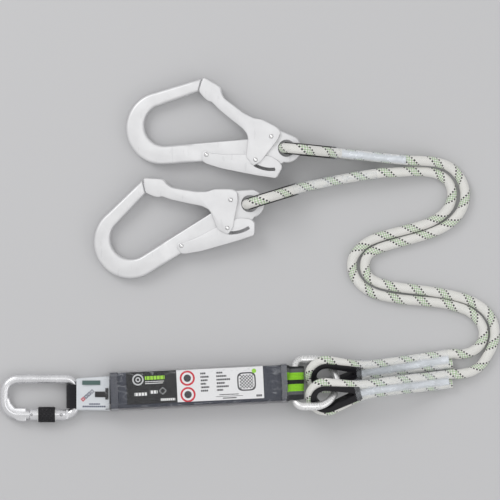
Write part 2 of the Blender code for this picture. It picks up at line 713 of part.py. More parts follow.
def gate_outline():
    """A cheek of the hook's gate, from its cap down to the lock lobe and back up."""
    lobe = arc(LOCK_PIN, 7.5, 250.0, 190.0, 4)
    return [(-96.4, 97.1), (-79.0, 85.1), (-75.9, 82.0), (-75.7, 76.0), (-72.6, 68.4), (-61.0, 58.0),
            (-49.4, 47.8), (-38.0, 40.8), (-28.0, 38.5), (-10.2, 27.5), (-5.1, 21.0), (-10.0, 11.0),
            (-25.0, -4.5), (-33.0, -14.0)] + lobe + [
            (-50.5, -8.2), (-50.5, -3.6), (-46.9, 15.4), (-47.6, 21.4), (-52.0, 28.7), (-66.4, 42.1),
            (-80.5, 55.8), (-88.7, 66.0), (-92.7, 66.8), (-97.6, 71.5), (-103.5, 80.3)]


def gate_channel():
    """The space between the gate's cheeks, left open all round but for the web on the inner side."""
    return [(-110.0, 110.0), (10.0, 60.0), (10.0, -40.0), (-60.0, -40.0), (-60.0, 34.0), (-58.0, 37.4),
            (-65.0, 43.6), (-79.1, 57.2), (-87.0, 67.0), (-90.0, 71.0), (-120.0, 72.0)]


def lever_outline():
    """A cheek of the lock lever under the spine."""
    return [(-95.8, 1.8), (-100.6, 6.0), (-106.6, 2.5), (-106.2, -7.6), (-101.5, -10.9), (-83.5, -18.2),
            (-53.0, -27.0), (-34.0, -32.2), (-16.0, -36.4), (-7.6, -23.7), (-8.0, -20.0), (-10.0, -16.0),
            (-19.0, -9.0), (-26.0, -6.6), (-51.7, -3.1), (-75.5, -1.7)]


def lever_channel():
    """The space between the lever's cheeks, above the web along its outer edge."""
    return [(-120.0, 20.0), (-120.0, -7.9), (-104.5, -7.9), (-101.0, -9.0), (-83.2, -16.2), (-52.6, -25.0),
            (-33.6, -30.2), (-17.0, -34.0), (0.0, -38.0), (0.0, 20.0)]


def spring_coil(name, centre, radius, wire, half_width, turns, start, frame):
    """A torsion spring round a pivot, seen as its coil."""
    points = []
    for step in range(turns * 8 + 1):
        angle = math.radians(start + 45.0 * step)
        z = -half_width + 2 * half_width * step / (turns * 8)
        points.append((centre[0] + radius * math.cos(angle), centre[1] + radius * math.sin(angle), z))
    tube_curve(name, points, wire, 0, SPRING_STEEL, frame)


def make_hook(name, eye_x, eye_y, heading):
    """Body, gate, lock lever, their pivots, the lock rivets and both springs of one hook."""
    frame = empty(name, (eye_x, eye_y, HOOK_EYE_Z), (0.0, -HOOK_TILT, heading))
    pivot = Vector(GATE_PIVOT)
    lever_pivot = Vector(LEVER_PIVOT)

    beyond = 12.0
    head = 10.4

    body = add(name + "_body", prism(hook_outline(), -PLATE_HALF, PLATE_HALF, 1.2), HOOK_METAL, frame)
    combine(body, prism(bend_outline(), -BEND_HALF, BEND_HALF, 2.6), "UNION")
    combine(body, prism(nose_outline(), -PLATE_HALF, PLATE_HALF, 0.8), "UNION")
    combine(body, upright_cylinder((0.0, 0.0), EYE_HOLE, -beyond, beyond, 28))
    combine(body, upright_cylinder(pivot, PIN_HOLE, -beyond, beyond, 12))
    combine(body, upright_cylinder(lever_pivot, PIN_HOLE, -beyond, beyond, 12))
    gate_pocket = arc(pivot, 8.0, 225.0, 405.0, 8) + [(-29.0, 38.0), (-42.0, 24.0)]
    combine(body, prism(gate_pocket, -3.4, 3.4))
    lever_pocket = arc(lever_pivot, 6.6, 0.0, 180.0, 8) + [(-107.2, -12.0), (-94.0, -12.0)]
    combine(body, prism(lever_pocket, -3.0, 3.0))

    gate = add(name + "_gate", prism(gate_outline(), -GATE_OUTER, GATE_OUTER, 0.6), HOOK_METAL, frame,
               (*pivot, 0.0))
    combine(gate, prism(gate_channel(), -GATE_INNER, GATE_INNER))
    combine(gate, upright_cylinder(pivot, PIN_HOLE, -beyond, beyond, 12))
    combine(gate, upright_cylinder(LOCK_PIN, PIN_HOLE, -beyond, beyond, 12))

    lever = add(name + "_lock_lever", prism(lever_outline(), -LEVER_OUTER, LEVER_OUTER, 0.4), HOOK_METAL, frame,
                (*lever_pivot, 0.0))
    combine(lever, prism(lever_channel(), -LEVER_INNER, LEVER_INNER))
    combine(lever, upright_cylinder(lever_pivot, PIN_HOLE, -beyond, beyond, 12))
    slot = arc(GATE_PIVOT, 39.2, 232.5, 272.0, 6) + arc(GATE_PIVOT, 43.4, 272.0, 234.5, 6)
    combine(lever, prism(slot, -beyond, beyond))

    add(name + "_gate_pivot", upright_cylinder(pivot, PIN_RADIUS, -head, head, 12, 0.4), BRIGHT_STEEL, frame)
    add(name + "_lever_pivot", upright_cylinder(lever_pivot, PIN_RADIUS, -8.0, 8.0, 12, 0.4), BRIGHT_STEEL, frame)
    for side, low, high in (("top", GATE_INNER, head), ("bottom", -head, -GATE_INNER)):
        add(name + "_lock_rivet_" + side, upright_cylinder(LOCK_PIN, PIN_RADIUS, low, high, 12, 0.4),
            BRIGHT_STEEL, frame, (*pivot, 0.0))
    spring_coil(name + "_gate_spring", pivot, 5.0, 0.8, 2.3, 3, 40.0, frame)
    spring_coil(name + "_lever_spring", lever_pivot, 4.6, 0.7, 2.0, 3, 0.0, frame)


# Free ropes

def route(pixels, heights, first, last):
    """A rope's route through photographed points, given heights where it isn't lying on the table."""
    points = [first]
    for px, py in pixels:
        x, y = from_photo(px, py)
        points.append(Vector((x, y, heights.get((px, py), ROPE_RADIUS + 0.1))))
    return points + [last]


ROPE_A = [(458.0, 374.3), (466.0, 373.2), (473.5, 370.9), (481.5, 365.2), (488.0, 355.5), (493.0, 345.5),
          (495.3, 334.2), (493.4, 322.0), (487.5, 312.5), (480.0, 306.0), (471.2, 301.0), (459.7, 297.2),
          (441.5, 293.2), (420.0, 290.0), (399.0, 287.4), (388.0, 285.4), (377.8, 282.3), (369.8, 277.6),
          (365.8, 271.2), (365.0, 264.9), (366.3, 258.9), (369.9, 253.6), (376.4, 249.9), (385.9, 246.2),
          (403.5, 241.2), (420.0, 236.7), (432.0, 232.7), (444.8, 226.8), (454.5, 219.5), (461.5, 210.4),
          (465.0, 200.0), (464.9, 189.0), (461.3, 179.0), (455.0, 170.9), (447.5, 165.6), (439.0, 162.7),
          (430.0, 161.3), (420.0, 160.7)]
ROPE_A_HEIGHTS = {(458.0, 374.3): 11.6, (466.0, 373.2): 9.6, (473.5, 370.9): 7.4, (455.0, 170.9): 7.2,
                  (447.5, 165.6): 9.2, (439.0, 162.7): 12.0, (430.0, 161.3): 15.0, (420.0, 160.7): 17.7}
ROPE_B = [(459.0, 354.6), (466.0, 353.7), (472.5, 351.4), (478.6, 347.2), (482.6, 340.8), (483.9, 333.0),
          (482.0, 325.0), (476.5, 317.5), (468.5, 311.4), (457.5, 307.0), (441.5, 303.3), (420.0, 301.0),
          (402.0, 299.3), (388.0, 297.1), (375.0, 293.6), (364.9, 288.2), (357.7, 281.2), (353.5, 273.4),
          (351.9, 265.5), (353.2, 258.0), (357.9, 250.5), (366.0, 243.2), (378.6, 237.2), (400.9, 231.2),
          (420.0, 226.0), (431.5, 221.7), (442.0, 215.0), (449.3, 206.3), (452.2, 197.0), (451.6, 188.3),
          (447.5, 180.6), (440.0, 175.0), (430.0, 172.1), (417.0, 171.2), (404.0, 171.7), (391.0, 172.5)]
ROPE_B_HEIGHTS = {(447.5, 180.6): 6.8, (440.0, 175.0): 8.2, (430.0, 172.1): 10.6, (417.0, 171.2): 13.6,
                  (404.0, 171.7): 16.4, (391.0, 172.5): 18.5}


def make_free_rope(name, pixels, heights, first, last):
    """One rope between its two splices, meeting each cut face with a small gap."""
    _, start_axis, _, _ = first.frame(first.length + LEG_TAIL)
    _, end_axis, _, _ = last.frame(last.length + LEG_TAIL)
    start = first.running_end() + start_axis * GAP
    stop = last.running_end() + end_axis * GAP
    lead_in, lead_out = start + start_axis * ROPE_LEAD, stop + end_axis * ROPE_LEAD
    points = [start] + smooth_route(route(pixels, heights, lead_in, lead_out), 2) + [stop]
    tube_curve(name, points, ROPE_RADIUS, 2, ROPE)
    length = sum((b - a).length for a, b in zip(points, points[1:]))
    print(name, "free length", round(length, 1), "mm,", len(points), "points")


# Assembly

HOOK_1 = (108.5, 298.9, math.radians(4.7))
HOOK_2 = (62.5, 230.0, math.radians(31.8))
HOOK_THIMBLE_OFFSET = 15.6
HOOK_LOOP_Z = 26.2
STACKED_Z = 13.5


def hook_splice(name, hook, heading, end_pixel, end_heading):
    """A splice whose eye stands upright through a hook's eye."""
    eye = (hook[0] + HOOK_THIMBLE_OFFSET * math.cos(heading), hook[1] + HOOK_THIMBLE_OFFSET * math.sin(heading),
           HOOK_LOOP_Z)
    end = (*from_photo(*end_pixel), STACKED_Z)
    upright = math.radians(90.0)
    return Splice(name, eye, heading, math.radians(-13.0), upright, end, end_heading, upright, 0.62)


def ring_splice(name, eye_pixel, eye_z, heading, pitch, roll, end_pixel, end_z, end_roll):
    """A splice whose eye leans on the ring's bow."""
    eye = (*from_photo(*eye_pixel), eye_z)
    end = (*from_photo(*end_pixel), end_z)
    return Splice(name, eye, heading, pitch, roll, end, math.radians(8.2), end_roll, 1.0)


def build():
    """Makes every piece of the lanyard."""
    clear_scene()
    make_karabiner()
    make_karabiner_loop()
    make_label_sleeve()
    make_pack()
    make_ring_loop()
    make_ring()

    ring_upper = ring_splice("ring_upper", (325.3, 374.5), 17.0, math.radians(6.0), math.radians(-4.3),
                             math.radians(29.3), (449.0, 359.5), 7.0, 0.0)
    ring_lower = ring_splice("ring_lower", (325.7, 396.5), 32.7, math.radians(10.5), math.radians(7.4),
                             math.radians(27.4), (449.0, 379.2), 10.2, math.radians(22.0))
    hook_upper = hook_splice("hook_1", HOOK_1, math.radians(-5.3), (406.0, 160.1), math.radians(-4.0))
    hook_lower = hook_splice("hook_2", HOOK_2, math.radians(17.3), (377.0, 173.4), math.radians(7.0))
    for splice in (ring_upper, ring_lower, hook_upper, hook_lower):
        make_thimble(splice)
        make_rope_eye(splice)
        make_splice_sleeve(splice)

    make_free_rope("rope_a", ROPE_A, ROPE_A_HEIGHTS, ring_lower, hook_upper)
    make_free_rope("rope_b", ROPE_B, ROPE_B_HEIGHTS, ring_upper, hook_lower)
    make_hook("hook_1", *HOOK_1)
    make_hook("hook_2", *HOOK_2)


build()
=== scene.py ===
# %% [markdown]
# # Energy absorbing Y lanyard
# A fall arrest lanyard, laid out flat: a karabiner, a folded webbing pack that tears open to slow a fall,
# a ring, and two ropes that each end in a big hook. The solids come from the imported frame, in metres.
# This lesson gives them their real surfaces, and rebuilds every soft piece as the thing it is.

# %% Load the frame
import math

import bpy
from mathutils import Matrix, Vector


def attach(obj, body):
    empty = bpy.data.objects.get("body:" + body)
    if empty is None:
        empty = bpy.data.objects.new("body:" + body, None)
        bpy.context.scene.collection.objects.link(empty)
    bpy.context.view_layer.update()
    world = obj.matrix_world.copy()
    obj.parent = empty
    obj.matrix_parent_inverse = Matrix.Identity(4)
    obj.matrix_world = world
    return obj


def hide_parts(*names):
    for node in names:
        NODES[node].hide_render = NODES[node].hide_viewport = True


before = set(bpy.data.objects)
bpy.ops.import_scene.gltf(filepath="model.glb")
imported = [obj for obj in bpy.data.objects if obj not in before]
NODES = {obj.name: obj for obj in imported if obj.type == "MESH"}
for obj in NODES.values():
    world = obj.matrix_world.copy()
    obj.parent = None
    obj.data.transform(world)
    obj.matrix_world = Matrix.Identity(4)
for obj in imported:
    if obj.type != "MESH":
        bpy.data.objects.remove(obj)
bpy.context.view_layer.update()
MM = 0.001

# %% [markdown]
# ## Camera
# The lanyard lies on a table and is seen from straight above. A long lens far away keeps the view almost
# free of perspective, so one pixel is 1.25 mm everywhere, whatever the height of a piece.

# %% Camera
PIXEL = 1.25
PHOTO_X = 200.0
PHOTO_Y = 387.5
IMAGE_SIZE = 500
LENS = 400.0
FAR_CLIP = 60.0
TRUE_SCALE_HEIGHT = 0.018


def from_photo(px, py, z=0.0):
    """The place in millimetres, at a height over the table, that a pixel of the photograph shows."""
    return Vector(((px - PHOTO_X) * PIXEL, (PHOTO_Y - py) * PIXEL, z))


middle = from_photo(IMAGE_SIZE / 2, IMAGE_SIZE / 2) * MM
camera = bpy.data.objects.new("camera", bpy.data.cameras.new("camera"))
bpy.context.scene.collection.objects.link(camera)
camera.data.lens = LENS
camera.data.clip_end = FAR_CLIP
half_view = camera.data.sensor_width / 2 / LENS
height = IMAGE_SIZE * PIXEL * MM / 2 / half_view
camera.location = middle + Vector((0.0, 0.0, height + TRUE_SCALE_HEIGHT))
bpy.context.scene.camera = camera
bpy.context.scene.view_settings.view_transform = "Standard"
print("camera height", round(camera.location.z, 3), "m")

# %% [markdown]
# ## Shader values as Python
# A wrapper round one shader socket lets a pattern be written as sums and products. Each operation adds a
# Math node, so `abs(turn - 0.5) < 0.1` is a mask that Blender works out for every point of the surface.

# %% Shader helper


def maths(kind):
    """A method that adds one Math node."""
    return lambda value, *others: value.finish.node("ShaderNodeMath", {"operation": kind}, value, *others)


class Value:
    """One number or colour that varies over a surface."""

    def __init__(self, finish, socket):
        self.finish = finish
        self.socket = socket

    __add__ = __radd__ = maths("ADD")
    __mul__ = __rmul__ = maths("MULTIPLY")
    __sub__ = maths("SUBTRACT")
    __truediv__ = maths("DIVIDE")
    __lt__ = maths("LESS_THAN")
    __gt__ = maths("GREATER_THAN")
    __abs__ = maths("ABSOLUTE")
    fraction = maths("FRACT")
    floor = maths("FLOOR")
    root = maths("SQRT")
    sine = maths("SINE")
    either = maths("MAXIMUM")

    def __rsub__(self, other):
        return self.finish.node("ShaderNodeMath", {"operation": "SUBTRACT"}, other, self)

    def between(self, low, high):
        return (self > low) * (self < high)


class Finish:
    """A Principled material with the name of its slot. Its sockets take numbers, colours or values."""

    def __init__(self, name, slot, colour, roughness, **sockets):
        self.slot = slot
        self.material = bpy.data.materials.new(name)
        self.material.use_nodes = True
        self.tree = self.material.node_tree
        self.shader = self.tree.nodes["Principled BSDF"]
        self.feed(Base_Color=colour, Roughness=roughness, **sockets)

    def put(self, socket, value):
        if isinstance(value, Value):
            self.tree.links.new(value.socket, socket)
        elif isinstance(value, tuple) and len(value) == 3 and socket.type == "RGBA":
            socket.default_value = (*value, 1.0)
        else:
            socket.default_value = value

    def feed(self, **sockets):
        for name, value in sockets.items():
            self.put(self.shader.inputs[name.replace("_", " ")], value)

    def node(self, kind, settings, *inputs, output=0, **named):
        made = self.tree.nodes.new(kind)
        for name, value in settings.items():
            setattr(made, name, value)
        for key, value in [*enumerate(inputs), *named.items()]:
            self.put(made.inputs[key], value)
        return Value(self, made.outputs[output])

    def measured(self):
        """The two values of the piece's own UV map, which hold real distances."""
        spot = self.node("ShaderNodeUVMap", {"uv_map": "measured"})
        return [self.node("ShaderNodeSeparateXYZ", {}, spot, output=axis) for axis in range(2)]

    def noise(self, scale, detail=2.0, stretch=None):
        """Soft noise about 0.5, with grains of about one over the scale in metres."""
        spot = self.node("ShaderNodeTexCoord", {}, output="Object")
        if stretch:
            spot = self.node("ShaderNodeVectorMath", {"operation": "MULTIPLY"}, spot, stretch)
        return self.node("ShaderNodeTexNoise", {}, Vector=spot, Scale=scale, Detail=detail)

    def mix(self, share, first, second):
        """A colour between two, by a share from 0 to 1."""
        made = self.node("ShaderNodeMix", {"data_type": "RGBA"}, output=2)
        for index, value in ((0, share), (6, first), (7, second)):
            self.put(made.socket.node.inputs[index], value)
        return made

    def bump(self, height, distance, strength=1.0):
        """Gives the surface relief: height 1 stands out by the distance, in metres."""
        self.feed(Normal=self.node("ShaderNodeBump", {}, Height=height, Distance=distance, Strength=strength))

    def cover(self, piece):
        piece.data.materials.clear()
        piece.data.materials.append(self.material)


print("shader helper ready")

# %% [markdown]
# ## Floor and light
# A plain pale floor carries the soft shadow that shows how high each piece lies. Big square lamps stand in
# for studio softboxes: they give round metal one broad bright line and shiny film a calm sheen.

# %% Floor, lamps and world
WORLD_LIGHT = 0.70
bpy.ops.mesh.primitive_plane_add(size=30.0, location=(0.0, 0.0, 0.0))
floor = bpy.context.object
floor.name = "floor"
Finish("floor_paper", "floor", (0.56, 0.56, 0.57), 0.9).cover(floor)


def lamp(name, place, size, watts):
    """A square softbox that faces the middle of the lanyard and that the camera doesn't see."""
    data = bpy.data.lights.new(name, "AREA")
    data.size = size
    data.energy = watts
    made = bpy.data.objects.new(name, data)
    made.location = place
    made.rotation_euler = (middle - Vector(place)).to_track_quat("-Z", "Y").to_euler()
    made.visible_camera = False
    bpy.context.scene.collection.objects.link(made)


lamp("key_softbox", (-1.3, 1.5, 1.9), 1.2, 17.0)
lamp("fill_softbox", (1.7, -0.7, 1.6), 1.4, 6.0)
lamp("top_softbox", (0.2, 0.3, 2.4), 1.0, 4.0)
world = bpy.data.worlds.new("studio")
world.use_nodes = True
sky = world.node_tree.nodes["Background"].inputs
sky["Color"].default_value = (1.0, 1.0, 1.0, 1.0)
sky["Strength"].default_value = WORLD_LIGHT
bpy.context.scene.world = world
print("three lamps and a floor")

# %% [markdown]
# ## Modelling helpers
# Two ways of working cover almost every piece. A *bent grid* is a flat grid whose vertices are moved to
# their places on a strap, tube or film, while its UV map keeps real distances in metres. A *plate* is an
# outline that is filled, pulled up and given round edges, as a forging or a pressed sheet has.

# %% Modelling helpers


def only(piece):
    """Selects one piece and nothing else."""
    bpy.ops.object.select_all(action="DESELECT")
    piece.select_set(True)
    bpy.context.view_layer.objects.active = piece


def name_piece(name):
    piece = bpy.context.object
    piece.name = piece.data.name = name
    return piece


def edit(piece, *steps):
    """Runs edit mode steps on the whole mesh."""
    only(piece)
    bpy.ops.object.mode_set(mode="EDIT")
    bpy.ops.mesh.select_all(action="SELECT")
    for step in steps:
        step()
    bpy.ops.object.mode_set(mode="OBJECT")


def merge(reach=1e-6):
    bpy.ops.mesh.remove_doubles(threshold=reach)


def face_out():
    bpy.ops.mesh.normals_make_consistent(inside=False)


def close_ends():
    bpy.ops.mesh.fill_holes(sides=0)


def apply_modifier(piece, kind, **settings):
    only(piece)
    step = piece.modifiers.new(kind.title(), kind)
    for name, value in settings.items():
        setattr(step, name, value)
    bpy.ops.object.modifier_apply(modifier=step.name)


def settle(piece, body, finish, *nodes, angle=35.0):
    """Gives a finished piece its surface, its body and the solids that it stands for."""
    only(piece)
    bpy.ops.object.shade_smooth_by_angle(angle=math.radians(angle))
    finish.cover(piece)
    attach(piece, body)
    if nodes:
        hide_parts(*nodes)


def bent_grid(name, steps_u, steps_v, place, measure=lambda u, v: (u, v)):
    """A flat grid whose vertices are moved to place(u, v), in millimetres, with measure(u, v) as its UV."""
    bpy.ops.mesh.primitive_grid_add(x_subdivisions=steps_u, y_subdivisions=steps_v, size=1.0)
    piece = name_piece(name)
    mesh = piece.data
    flat = [(round((v.co.x + 0.5) * steps_u) / steps_u, round((v.co.y + 0.5) * steps_v) / steps_v)
            for v in mesh.vertices]
    mesh.uv_layers.active.name = "measured"
    corners = mesh.uv_layers["measured"].data
    for loop in mesh.loops:
        corners[loop.index].uv = measure(*flat[loop.vertex_index])
    for vertex, (u, v) in zip(mesh.vertices, flat):
        vertex.co = place(u, v) * MM
    return piece


def wrapped(name, rings, place=Vector, measure=None):
    """A closed surface through rings of points, with the last ring joined to the first."""
    count, sides = len(rings), len(rings[0])

    def spot(u, v):
        return rings[round(u * count) % count][round(v * sides) % sides]

    piece = bent_grid(name, count, sides, lambda u, v: place(spot(u, v)),
                      lambda u, v: measure(spot(u, v)) if measure else (u, v))
    edit(piece, merge, face_out)
    return piece


def tube(name, line, frames, radius, sides, measure=lambda u, v: (u, v)):
    """A round tube along a line, with closed ends."""
    count = len(line) - 1

    def place(u, v):
        index = round(u * count)
        side, other = frames[index]
        turn = math.tau * v
        return line[index] + (side * math.cos(turn) + other * math.sin(turn)) * radius

    piece = bent_grid(name, count, sides, place, measure)
    edit(piece, merge, close_ends, face_out)
    return piece


def distances(line):
    """How far along the line each of its points lies."""
    travelled = [0.0]
    for a, b in zip(line, line[1:]):
        travelled.append(travelled[-1] + (b - a).length)
    return travelled


def round_edges(piece, heights, width, segments):
    """Bevels the edges that lie at one of the heights."""
    only(piece)
    bpy.context.tool_settings.mesh_select_mode = (False, True, False)
    edit(piece, lambda: bpy.ops.mesh.select_all(action="DESELECT"))
    for edge in piece.data.edges:
        ends = [piece.data.vertices[i].co.z for i in edge.vertices]
        edge.select = any(max(abs(z - height) for z in ends) < 1e-7 for height in heights)
    bpy.ops.object.mode_set(mode="EDIT")
    bpy.ops.mesh.bevel(offset=width, segments=segments, profile=0.5, affect="EDGES")
    bpy.ops.object.mode_set(mode="OBJECT")
    bpy.context.tool_settings.mesh_select_mode = (True, False, False)


def plate(name, outline, low, high, rounding=0.0, segments=3):
    """A filled outline pulled up from one height to another, its long edges rounded. Millimetres."""
    bpy.ops.mesh.primitive_circle_add(vertices=len(outline), radius=1.0, fill_type="NGON")
    piece = name_piece(name)
    order = sorted(piece.data.vertices, key=lambda v: math.atan2(v.co.y, v.co.x) % math.tau)
    turn = sum(a[0] * b[1] - a[1] * b[0] for a, b in zip(outline, outline[1:] + outline[:1]))
    for vertex, point in zip(order, outline if turn > 0 else outline[::-1]):
        vertex.co = Vector((point[0], point[1], low)) * MM
    rise = Vector((0.0, 0.0, high - low)) * MM
    edit(piece, lambda: bpy.ops.mesh.extrude_region_move(TRANSFORM_OT_translate={"value": rise}), face_out)
    if rounding:
        round_edges(piece, [low * MM, high * MM], rounding * MM, segments)
    return piece


def shape_with(piece, tool, operation="DIFFERENCE"):
    """Cuts a tool out of a piece, or joins it on, and removes the tool."""
    apply_modifier(piece, "BOOLEAN", operation=operation, object=tool, solver="EXACT")
    bpy.data.objects.remove(tool, do_unlink=True)


def cut(piece, outline, low, high, base=0.0):
    """Cuts an outline out of a piece between two heights, counted from a base height."""
    shape_with(piece, plate("cutter", outline, base + low, base + high))


def join(piece, outline, half, rounding, base=0.0):
    """Joins a plate onto a piece, as thick above the base height as below it."""
    shape_with(piece, plate("joiner", outline, base - half, base + half, rounding), "UNION")


def put_at(piece, matrix):
    """Moves the mesh itself, so that the object stays at the origin."""
    piece.data.transform(matrix)
    piece.data.update()


def copy_of(piece, name):
    """A second piece with a mesh of its own."""
    made = piece.copy()
    made.data = piece.data.copy()
    made.name = made.data.name = name
    bpy.context.scene.collection.objects.link(made)
    return made


def arc(centre, radius, start, stop, steps):
    """Points along an arc from one angle to another, in degrees."""
    angles = [math.radians(start + (stop - start) * i / steps) for i in range(steps + 1)]
    return [(centre[0] + radius * math.cos(t), centre[1] + radius * math.sin(t)) for t in angles]


def disc(centre, radius, sides=40):
    return arc(centre, radius, 0.0, 360.0 * (1 - 1 / sides), sides - 1)


def rectangle(x_low, y_low, x_high, y_high):
    return [(x_low, y_low), (x_high, y_low), (x_high, y_high), (x_low, y_high)]


def neighbours(points):
    """Each point of a closed outline with the one before and the one after it."""
    return zip(points[-1:] + points[:-1], points, points[1:] + points[:1])


def curved_corner(first, corner, last, steps):
    """Points along the soft curve that takes a corner's place."""
    shares = [i / steps for i in range(steps + 1)]
    return [first * (1 - t) ** 2 + corner * 2 * t * (1 - t) + last * t * t for t in shares]


def ease(value):
    """A smooth step from 0 to 1."""
    value = min(max(value, 0.0), 1.0)
    return value * value * (3.0 - 2.0 * value)


print("modelling helpers ready")

# %% [markdown]
# ## The rope's line
# Each rope is one length: it starts as a cut end inside a clear sleeve, goes round the thimble on the ring,
# leaves the sleeve, lies in an S on the table, and ends the same way at its hook. The free stretch follows
# points that were read along the rope's middle, and the sewn eyes follow the same rule as their solids.

# %% Sewn eyes
ROPE_RADIUS = 6.0
EYE_RADIUS = 20.0
LEG_ANGLE = math.radians(18.2)
LEG_EASE_START = 31.0
LEG_HALF_PITCH = 6.2
RIGID_LENGTH = 46.0
LEG_TAIL = 4.0
ROPE_LEAD = 4.0
EYE_STANDOFF = 15.6
HOOK_EYE_Z = 26.2
HOOK_END_Z = 13.5
RING_END_HEADING = 8.2
UP = Vector((0.0, 0.0, 1.0))


def direction(heading, pitch=0.0):
    """A unit vector that points at a heading and a pitch in degrees."""
    turn, rise = math.radians(heading), math.radians(pitch)
    return Vector((math.cos(turn) * math.cos(rise), math.sin(turn) * math.cos(rise), math.sin(rise)))


class Splice:
    """A sewn eye that is stiff near its thimble and then bends towards the sleeve's far end. Degrees."""

    def __init__(self, name, eye, axis, roll, end, end_axis, end_roll, stretch=1.0):
        self.name = name
        self.eye, self.axis, self.roll = eye, axis, math.radians(roll)
        self.end, self.end_axis, self.end_roll = end, end_axis, math.radians(end_roll)
        self.stretch = stretch
        self.stiff_end = self.eye + self.axis * RIGID_LENGTH
        self.length = RIGID_LENGTH + (self.end - self.stiff_end).length

    def frame(self, along):
        """Centre, direction, direction to the running leg and normal, at a distance from the eye."""
        span = self.length - RIGID_LENGTH
        t = (along - RIGID_LENGTH) / span
        if t <= 0.0:
            centre, axis, roll = self.eye + self.axis * along, self.axis, self.roll
        elif t >= 1.0:
            centre = self.end + self.end_axis * (along - self.length)
            axis, roll = self.end_axis, self.end_roll
        else:
            first, last = self.axis * span * self.stretch, self.end_axis * span * self.stretch
            centre = (self.stiff_end * (2 * t ** 3 - 3 * t * t + 1) + first * (t ** 3 - 2 * t * t + t)
                      + self.end * (3 * t * t - 2 * t ** 3) + last * (t ** 3 - t * t))
            axis = (self.stiff_end * (6 * t * t - 6 * t) + first * (3 * t * t - 4 * t + 1)
                    + self.end * (6 * t - 6 * t * t) + last * (3 * t * t - 2 * t)).normalized()
            roll = self.roll + (self.end_roll - self.roll) * ease(t)
        level = UP.cross(axis).normalized()
        side = level * math.cos(roll) + axis.cross(level) * math.sin(roll)
        return centre, axis, side, axis.cross(side)

    def point(self, along, aside, out=0.0):
        centre, _, side, normal = self.frame(along)
        return centre + side * aside + normal * out

    def matrix(self):
        """Turns a piece modelled flat, eye at the origin and legs along X, into its place."""
        centre, axis, side, normal = self.frame(0.0)
        turned = Matrix((axis, side, normal)).transposed().to_4x4()
        return Matrix.Translation(centre * MM) @ turned


def leg_offset(along):
    """How far each leg's middle lies from the splice's axis."""
    slope = math.tan(LEG_ANGLE)
    at_ease = (EYE_RADIUS - LEG_EASE_START * math.sin(LEG_ANGLE)) / math.cos(LEG_ANGLE)
    span = 2 * (at_ease - LEG_HALF_PITCH) / slope
    if along <= LEG_EASE_START:
        return (EYE_RADIUS - along * math.sin(LEG_ANGLE)) / math.cos(LEG_ANGLE)
    past = min(along - LEG_EASE_START, span)
    return at_ease - slope * past + slope * past * past / (2 * span)


def hook_splice(name, heading, end, end_heading):
    """An eye that stands upright through a hook's own eye."""
    x, y, _ = HOOKS[name]
    eye = Vector((x, y, HOOK_EYE_Z)) + direction(heading) * EYE_STANDOFF
    return Splice(name, eye, direction(heading, -13.0), 90.0, end, direction(end_heading), 90.0, 0.62)


HOOKS = {"hook_1": (108.5, 298.9, 4.7), "hook_2": (62.5, 230.0, 31.8)}
ring_upper = Splice("ring_upper", from_photo(325.3, 374.5, 17.0), direction(6.0, -4.3), 29.3,
                    from_photo(449.0, 359.5, 7.0), direction(RING_END_HEADING), 0.0)
ring_lower = Splice("ring_lower", from_photo(325.7, 396.5, 32.7), direction(10.5, 7.4), 27.4,
                    from_photo(449.0, 379.2, 10.2), direction(RING_END_HEADING), 22.0)
hook_1 = hook_splice("hook_1", -5.3, from_photo(406.0, 160.1, HOOK_END_Z), -4.0)
hook_2 = hook_splice("hook_2", 17.3, from_photo(377.0, 173.4, HOOK_END_Z), 7.0)
SPLICES = (ring_upper, ring_lower, hook_1, hook_2)
print("splice lengths", [round(s.length, 1) for s in SPLICES], "mm")

# %% Routes of the free ropes
ROPE_A = [(458.0, 374.3), (466.0, 373.2), (473.5, 370.9), (481.5, 365.2), (488.0, 355.5), (493.0, 345.5),
          (495.3, 334.2), (493.4, 322.0), (487.5, 312.5), (480.0, 306.0), (471.2, 301.0), (459.7, 297.2),
          (441.5, 293.2), (420.0, 290.0), (399.0, 287.4), (388.0, 285.4), (377.8, 282.3), (369.8, 277.6),
          (365.8, 271.2), (365.0, 264.9), (366.3, 258.9), (369.9, 253.6), (376.4, 249.9), (385.9, 246.2),
          (403.5, 241.2), (420.0, 236.7), (432.0, 232.7), (444.8, 226.8), (454.5, 219.5), (461.5, 210.4),
          (465.0, 200.0), (464.9, 189.0), (461.3, 179.0), (455.0, 170.9), (447.5, 165.6), (439.0, 162.7),
          (430.0, 161.3), (420.0, 160.7)]
ROPE_A_RISES = ([11.6, 9.6, 7.4], [7.2, 9.2, 12.0, 15.0, 17.7])
ROPE_B = [(459.0, 354.6), (466.0, 353.7), (472.5, 351.4), (478.6, 347.2), (482.6, 340.8), (483.9, 333.0),
          (482.0, 325.0), (476.5, 317.5), (468.5, 311.4), (457.5, 307.0), (441.5, 303.3), (420.0, 301.0),
          (402.0, 299.3), (388.0, 297.1), (375.0, 293.6), (364.9, 288.2), (357.7, 281.2), (353.5, 273.4),
          (351.9, 265.5), (353.2, 258.0), (357.9, 250.5), (366.0, 243.2), (378.6, 237.2), (400.9, 231.2),
          (420.0, 226.0), (431.5, 221.7), (442.0, 215.0), (449.3, 206.3), (452.2, 197.0), (451.6, 188.3),
          (447.5, 180.6), (440.0, 175.0), (430.0, 172.1), (417.0, 171.2), (404.0, 171.7), (391.0, 172.5)]
ROPE_B_RISES = ([], [6.8, 8.2, 10.6, 13.6, 16.4, 18.5])
LYING_Z = ROPE_RADIUS + 0.1


